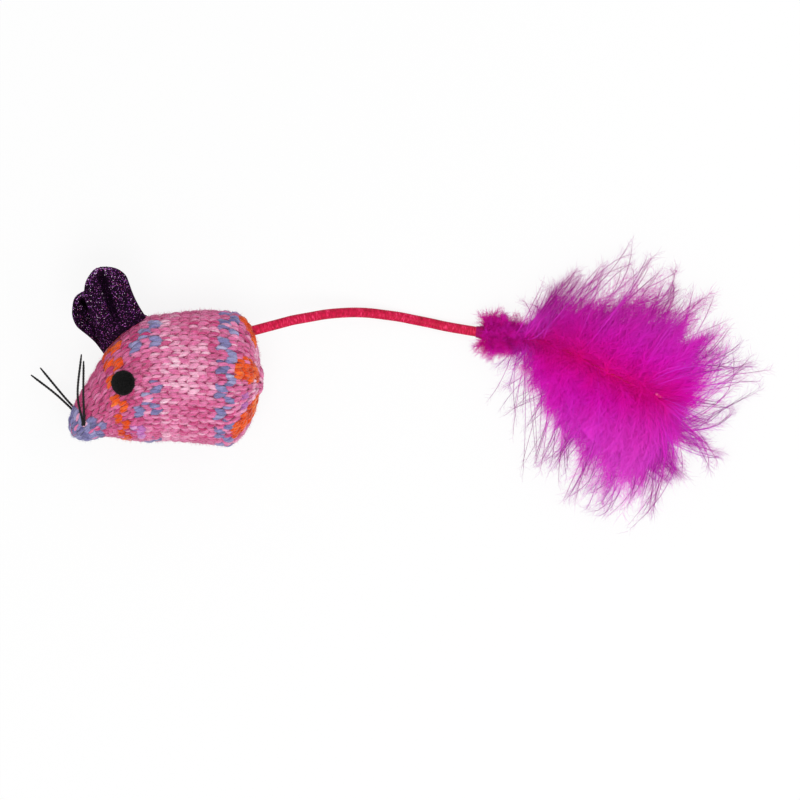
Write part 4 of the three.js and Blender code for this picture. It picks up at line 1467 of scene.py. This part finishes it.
def barb_ends(quill, tips, lean, rng):
    """Arcs from the quill to the tips, bowed a little to the quill's end and by a lean of their own."""
    axis = unit(quill[-1] - quill[0])
    length = np.linalg.norm(quill[-1] - quill[0])
    ahead = (tips - quill[0]) @ axis
    aside = np.linalg.norm((tips - quill[0]) - ahead[:, None] * axis, axis=1)
    share = (ahead - 0.25 * aside) / length + rng.normal(0, 0.1, len(tips))
    share = np.clip(share, 0.02 + 0.1 * rng.random(len(tips)), 1 - 0.15 * rng.random(len(tips)))
    spot = (share * (len(quill) - 2)).astype(int)
    root = quill[spot]
    forward = unit(quill[spot + 1] - root)
    distance = np.linalg.norm(tips - root, axis=1, keepdims=True)
    bow = distance * (0.1 * forward + 0.12 * UP + lean)
    return [root, (root + tips) / 2 + bow, tips]


def plume_points(angle, reach, height):
    """Points by their heading and distance from the plume's middle and their height."""
    flat = PLUME_CENTRE + np.stack([np.cos(angle), np.sin(angle)], axis=-1) * reach[..., None]
    return np.concatenate([flat, height[..., None]], axis=-1)


def core_angles(count, rng):
    """Headings of barbs, so many that the core is filled evenly."""
    choices = np.linspace(0, 2 * math.pi, 720, endpoint=False)
    area = core_reach(choices) ** 2
    return rng.choice(choices, count, p=area / area.sum()) + rng.normal(0, 0.01, count)


def plume_roof(share):
    """Height of the plume's upper face, by the share of the way from its middle to the core's edge."""
    return between((ROOF_RIM, ROOF_HEIGHT), np.sqrt(np.clip(1 - (0.9 * share) ** 2, 0.05, 1)))


def in_locks(angle, headings):
    """Lock that each barb belongs to, how far its heading is from that lock's, and the same as a share."""
    gap = angle_gap(angle[:, None] - headings)
    lock = np.argmin(np.abs(gap), axis=1)
    aside = gap[np.arange(len(angle)), lock]
    return lock, aside, np.abs(aside) * LOCKS / math.pi


def make_core(name, kind, quill, locks, levels, material, rng):
    """Dense fluff that fills the core out to its pointed locks, most of it near the surface."""
    headings, stretch = locks
    angle = core_angles(CORE_BARBS, rng)
    lock, aside, share_aside = in_locks(angle, headings)
    to_rim = rng.random(CORE_BARBS) < 0.72
    at_rim = rng.uniform(*CORE_RIMS[kind], CORE_BARBS)
    share = np.where(to_rim, at_rim, np.sqrt(rng.uniform(0.04, 0.7, CORE_BARBS)))
    point = LOCK_DEPTH * (np.minimum(stretch[lock], 0.8) - np.minimum(share_aside, 1.5)) * share**4
    aim = headings[lock] + aside * (1 - LOCK_PINCH * smoothstep(share, 0.7, 1.15))
    level = between(levels, rng.random(CORE_BARBS) ** 0.6)
    tips = plume_points(aim, core_reach(angle) * (share + point), plume_roof(share) * level)
    ends = barb_ends(quill, tips, 0.16 * rng.normal(size=tips.shape), rng)
    tone = rng.uniform(0.2, 0.8, CORE_BARBS)
    return down_piece(name, kind, ends, tone, material, rng, quill)


def make_wisps(name, quill, locks, levels, material, rng):
    """Long thin wisps that go on from the locks and draw to their points, with a haze of fine hairs."""
    headings, stretch = locks
    pick = rng.choice(LOCKS, LOCKS * WISPS_PER_LOCK, p=wisp_shares(headings))
    count = len(pick)
    angle = headings[pick] + rng.normal(0, 0.03, count)
    reach = WISP_RADIUS * (0.74 + 0.24 * stretch[pick]) * rng.uniform(0.82, 1.06, count)
    height = plume_roof(1.0) * rng.uniform(*levels, count)
    lean = 0.17 * rng.normal(size=(LOCKS, 3))[pick] + 0.09 * rng.normal(size=(count, 3))
    ends = barb_ends(quill, plume_points(angle, reach, height), lean, rng)
    down_piece(name, "wisps", ends, rng.random(count), material, rng)


def wisp_shares(headings):
    """Share of the wisps in each lock: few on the side below the binding."""
    weight = 1 - 0.85 * bell(angle_gap(headings - BARE_HEADING), 0.6)
    return weight / weight.sum()


def lock_stretch(headings, rng):
    """How far each lock reaches, from 0 to 1: furthest at a few headings round the plume."""
    middle, extra = np.array(LONG_LOCKS).T
    gap = angle_gap(headings[:, None] - np.radians(middle))
    near = bell(gap, 0.2) * extra
    return 0.65 * rng.random(len(headings)) + near.sum(axis=1)


def make_feather(name, node, quill, levels, seed, materials):
    """A feather's dense core in two grades of fluff, and its wisps."""
    rng = np.random.default_rng(seed)
    headings = 2 * math.pi * (np.arange(LOCKS) + rng.uniform(-0.4, 0.4, LOCKS)) / LOCKS
    locks = (headings, lock_stretch(headings, rng))
    fluff = make_core(f"{name}_fluff", "coarse", quill, locks, levels, materials["marabou"], rng)
    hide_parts(node)
    make_core(f"{name}_floss", "fine", quill, locks, levels, materials["marabou"], rng)
    make_wisps(f"{name}_wisps", quill, locks, levels, materials["marabou_wisps"], rng)


def make_down_mass(quill, material):
    """The dense inside of the down, which the fluff stands out of."""
    rng = np.random.default_rng(54)
    angle = round_angles(MASS_COLUMNS)
    below = np.linspace(0.04, 0.7, MASS_LOWER_ROWS)
    share = np.concatenate([below, np.linspace(0.72, 0.03, MASS_UPPER_ROWS)])
    upper = np.arange(len(share)) >= MASS_LOWER_ROWS
    ridges = np.array([drift(angle / (2 * math.pi) * 60 + 9.0 * row, 55) for row in share]) - 0.5
    reach = share[:, None] * core_reach(angle)[None] * (1 + 0.05 * ridges)
    level = np.where(upper, MASS_SHARE * plume_roof(share), MASS_FLOOR)[:, None]
    height = level + 1.8 * ridges + rng.normal(0, 0.1, ridges.shape)
    skin = Skin(plume_points(angle, reach, height)[None])
    piece = skin_piece("plume_down_mass", [skin], material, "plume", pressed=True)
    place = spread_shade(quill)(skin.vertices, skin.row)
    set_vertex_uv(piece, np.column_stack([place, rng.random(len(skin.vertices))]))


def make_underside(quill, material):
    """Fluff under the dense inside, which shows when the plume is lifted."""
    rng = np.random.default_rng(57)
    angle = core_angles(UNDERSIDE_BARBS, rng)
    share = np.sqrt(rng.uniform(0.02, 0.8, UNDERSIDE_BARBS))
    tips = plume_points(angle, core_reach(angle) * share, rng.uniform(0.5, 3.0, UNDERSIDE_BARBS))
    lean = 0.1 * rng.normal(size=tips.shape) - 0.18 * UP
    ends = barb_ends(quill, tips, lean, rng)
    tone = rng.uniform(0.2, 0.8, UNDERSIDE_BARBS)
    down_piece("under_feather_underside", "underside", ends, tone, material, rng, quill)


def make_strays(quill, material):
    """A few loose wisps below the binding, each from its own place on the first half of the quill."""
    rng = np.random.default_rng(58)
    angle = np.radians(rng.uniform(*STRAY_HEADINGS, STRAY_WISPS))
    reach = rng.uniform(*STRAY_REACH, STRAY_WISPS)
    tips = plume_points(angle, reach, rng.uniform(0.5, 5.0, STRAY_WISPS))
    root = quill[rng.integers(0, len(quill) // 2, STRAY_WISPS)]
    distance = np.linalg.norm(tips - root, axis=1, keepdims=True)
    middle = (root + tips) / 2 + 0.12 * distance * rng.normal(size=tips.shape)
    down_piece("stray_wisps", "strays", [root, middle, tips], rng.random(STRAY_WISPS), material, rng)


def make_tuft(material):
    """Short fluff that bursts out round the binding and the start of the quills."""
    rng = np.random.default_rng(53)
    pivot, axis, across = plume_axes()
    along = rng.uniform(*TUFT_REACH, TUFT_BARBS)
    spoke = spokes(rng.uniform(0, 2 * math.pi, TUFT_BARBS), across, UP)
    root = pivot + axis * along[:, None] + spoke * np.interp(along, (9, 12), (1.9, 0.6))[:, None]
    bulge = np.interp(along, (3, 6, 10, 14, 19), (0.85, 1.2, 1.15, 0.75, 0.65))
    reach = bulge * rng.uniform(3.2, 6.6, TUFT_BARBS) + 5.0 * (rng.random(TUFT_BARBS) > 0.92)
    slide = rng.uniform(-0.6, 0.6, TUFT_BARBS)
    tips = root + spoke * reach[:, None] * 0.8 + axis * (slide * reach)[:, None]
    middle = root + spoke * reach[:, None] * 0.6 + rng.normal(0, 0.5, tips.shape)
    ends = [root, settle(middle), settle(tips + rng.normal(0, 0.5, tips.shape))]
    tuft = down_piece("tuft_fluff", "tuft", ends, rng.random(TUFT_BARBS), material, rng)
    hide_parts("plume_tuft")


# Inner pieces keep their CAD solids, which the lining hides


def finish_inner_nodes():
    wad = grain_finish("fibre_fill")
    cloth = grain_finish("sachet_cloth")
    for name, material in (("stuffing_front", wad), ("stuffing_rear", wad), ("catnip_sachet", cloth)):
        node = frame["nodes"][name]
        node.data.materials.clear()
        node.data.materials.append(material)


# Stage


def make_camera():
    data = bpy.data.cameras.new("camera")
    data.sensor_width = SENSOR_WIDTH
    data.lens = SENSOR_WIDTH * (VIEW_HEIGHT - VIEW_PLANE) / VIEW_WIDTH
    camera = new_object("camera", data)
    camera.location = (VIEW_CENTRE[0] * MM, VIEW_CENTRE[1] * MM, VIEW_HEIGHT * MM)
    bpy.context.scene.camera = camera


def seen_rays(nodes):
    """1 for rays from the camera, and those seen in gloss or glass."""
    path = nodes.add("ShaderNodeLightPath").outputs
    mirrored = nodes.math("MAXIMUM", path["Is Glossy Ray"], path["Is Transmission Ray"])
    return nodes.math("MAXIMUM", path["Is Camera Ray"], mirrored)


def floor_fade(nodes):
    """Share of plain white in the floor, which grows with distance until it meets the backdrop."""
    inputs = {0: nodes.place(), 1: (VIEW_CENTRE[0] * MM, VIEW_CENTRE[1] * MM, 0)}
    middle = nodes.add("ShaderNodeVectorMath", inputs, operation="DISTANCE")
    return nodes.spread(middle.outputs["Value"], *FADE_DISTANCES, *FADE_SHARES, "SMOOTHSTEP")


def make_floor():
    material = bpy.data.materials.new("floor")
    material.use_nodes = True
    nodes = Nodes(material.node_tree)
    nodes.tree.nodes.clear()
    paper = nodes.add("ShaderNodeBsdfDiffuse", {"Color": FLOOR_GREY})
    glow = nodes.add("ShaderNodeEmission")
    share = nodes.math("MULTIPLY", seen_rays(nodes), floor_fade(nodes))
    blend = nodes.add("ShaderNodeMixShader", {0: share, 1: paper.outputs[0], 2: glow.outputs[0]})
    nodes.add("ShaderNodeOutputMaterial", {0: blend.outputs[0]})
    corners = FLOOR_HALF * np.array([(-1, -1, 0), (1, -1, 0), (1, 1, 0), (-1, 1, 0)])
    floor = new_piece("floor", corners, [np.array([[0, 1, 2, 3]])], material)


def make_world():
    world = bpy.data.worlds.new("studio")
    bpy.context.scene.world = world
    world.use_nodes = True
    nodes = Nodes(world.node_tree)
    background = nodes.tree.nodes["Background"]
    nodes.feed(background.inputs["Color"], (1, 1, 1, 1))
    nodes.feed(background.inputs["Strength"], nodes.spread(seen_rays(nodes), 0.0, 1.0, *WORLD_LEVELS))


def make_lamp(name, place, size, power):
    """Soft lamp that faces the middle of the toy."""
    data = bpy.data.lights.new(name, "AREA")
    data.shape = "SQUARE"
    data.size = size * MM
    data.energy = power
    lamp = new_object(name, data)
    lamp.location = [value * MM for value in place]
    lamp.rotation_euler = aim_rotation(np.array([*VIEW_CENTRE, VIEW_PLANE]) - np.array(place))


def aim_rotation(aim):
    """Rotation that points a lamp along a direction."""
    tilt = math.acos(-aim[2] / np.linalg.norm(aim))
    return (tilt, 0.0, math.atan2(aim[0], -aim[1]) if tilt > 1e-6 else 0.0)


def make_stage():
    make_floor()
    make_world()
    for name, settings in LAMPS.items():
        make_lamp(name, *settings)
    bpy.context.scene.view_settings.view_transform = "Standard"


def main():
    make_camera()
    make_tail()
    surface = KnitSurface()
    stitches, tones = make_knit(surface)
    make_lining(surface)
    make_fuzz(surface, stitches, tones)
    make_gather(surface)
    flecks = tint_finish("glitter_flecks", {"Metallic": 0.55, "Roughness": 0.25})
    for side in ("left", "right"):
        make_eye(side, surface)
        make_ear(side, flecks)
    thread = grain_finish("waxed_thread")
    for name in WHISKERS:
        make_whisker(name, thread)
    make_binding(grain_finish("whipping_thread"))
    shaft = grain_finish("quill")
    marabou = {name: marabou_finish(name) for name in MARABOU}
    top = quill_route(TOP_QUILL_ROUTE, QUILL_SPREAD)
    under = quill_route(UNDER_QUILL_ROUTE, -QUILL_SPREAD)
    make_quill("top_quill", top, shaft)
    make_quill("under_quill", under, shaft)
    make_quill_end(top, grain_finish("quill_end"))
    make_feather("top_feather", "top_down", top, (0.5, 0.95), 51, marabou)
    make_feather("under_feather", "under_down", under, (0.04, 0.5), 52, marabou)
    make_down_mass(top, marabou["marabou"])
    make_underside(under, marabou["marabou"])
    make_strays(under, marabou["marabou_wisps"])
    make_tuft(marabou["marabou_tuft"])
    finish_inner_nodes()
    make_stage()


main()
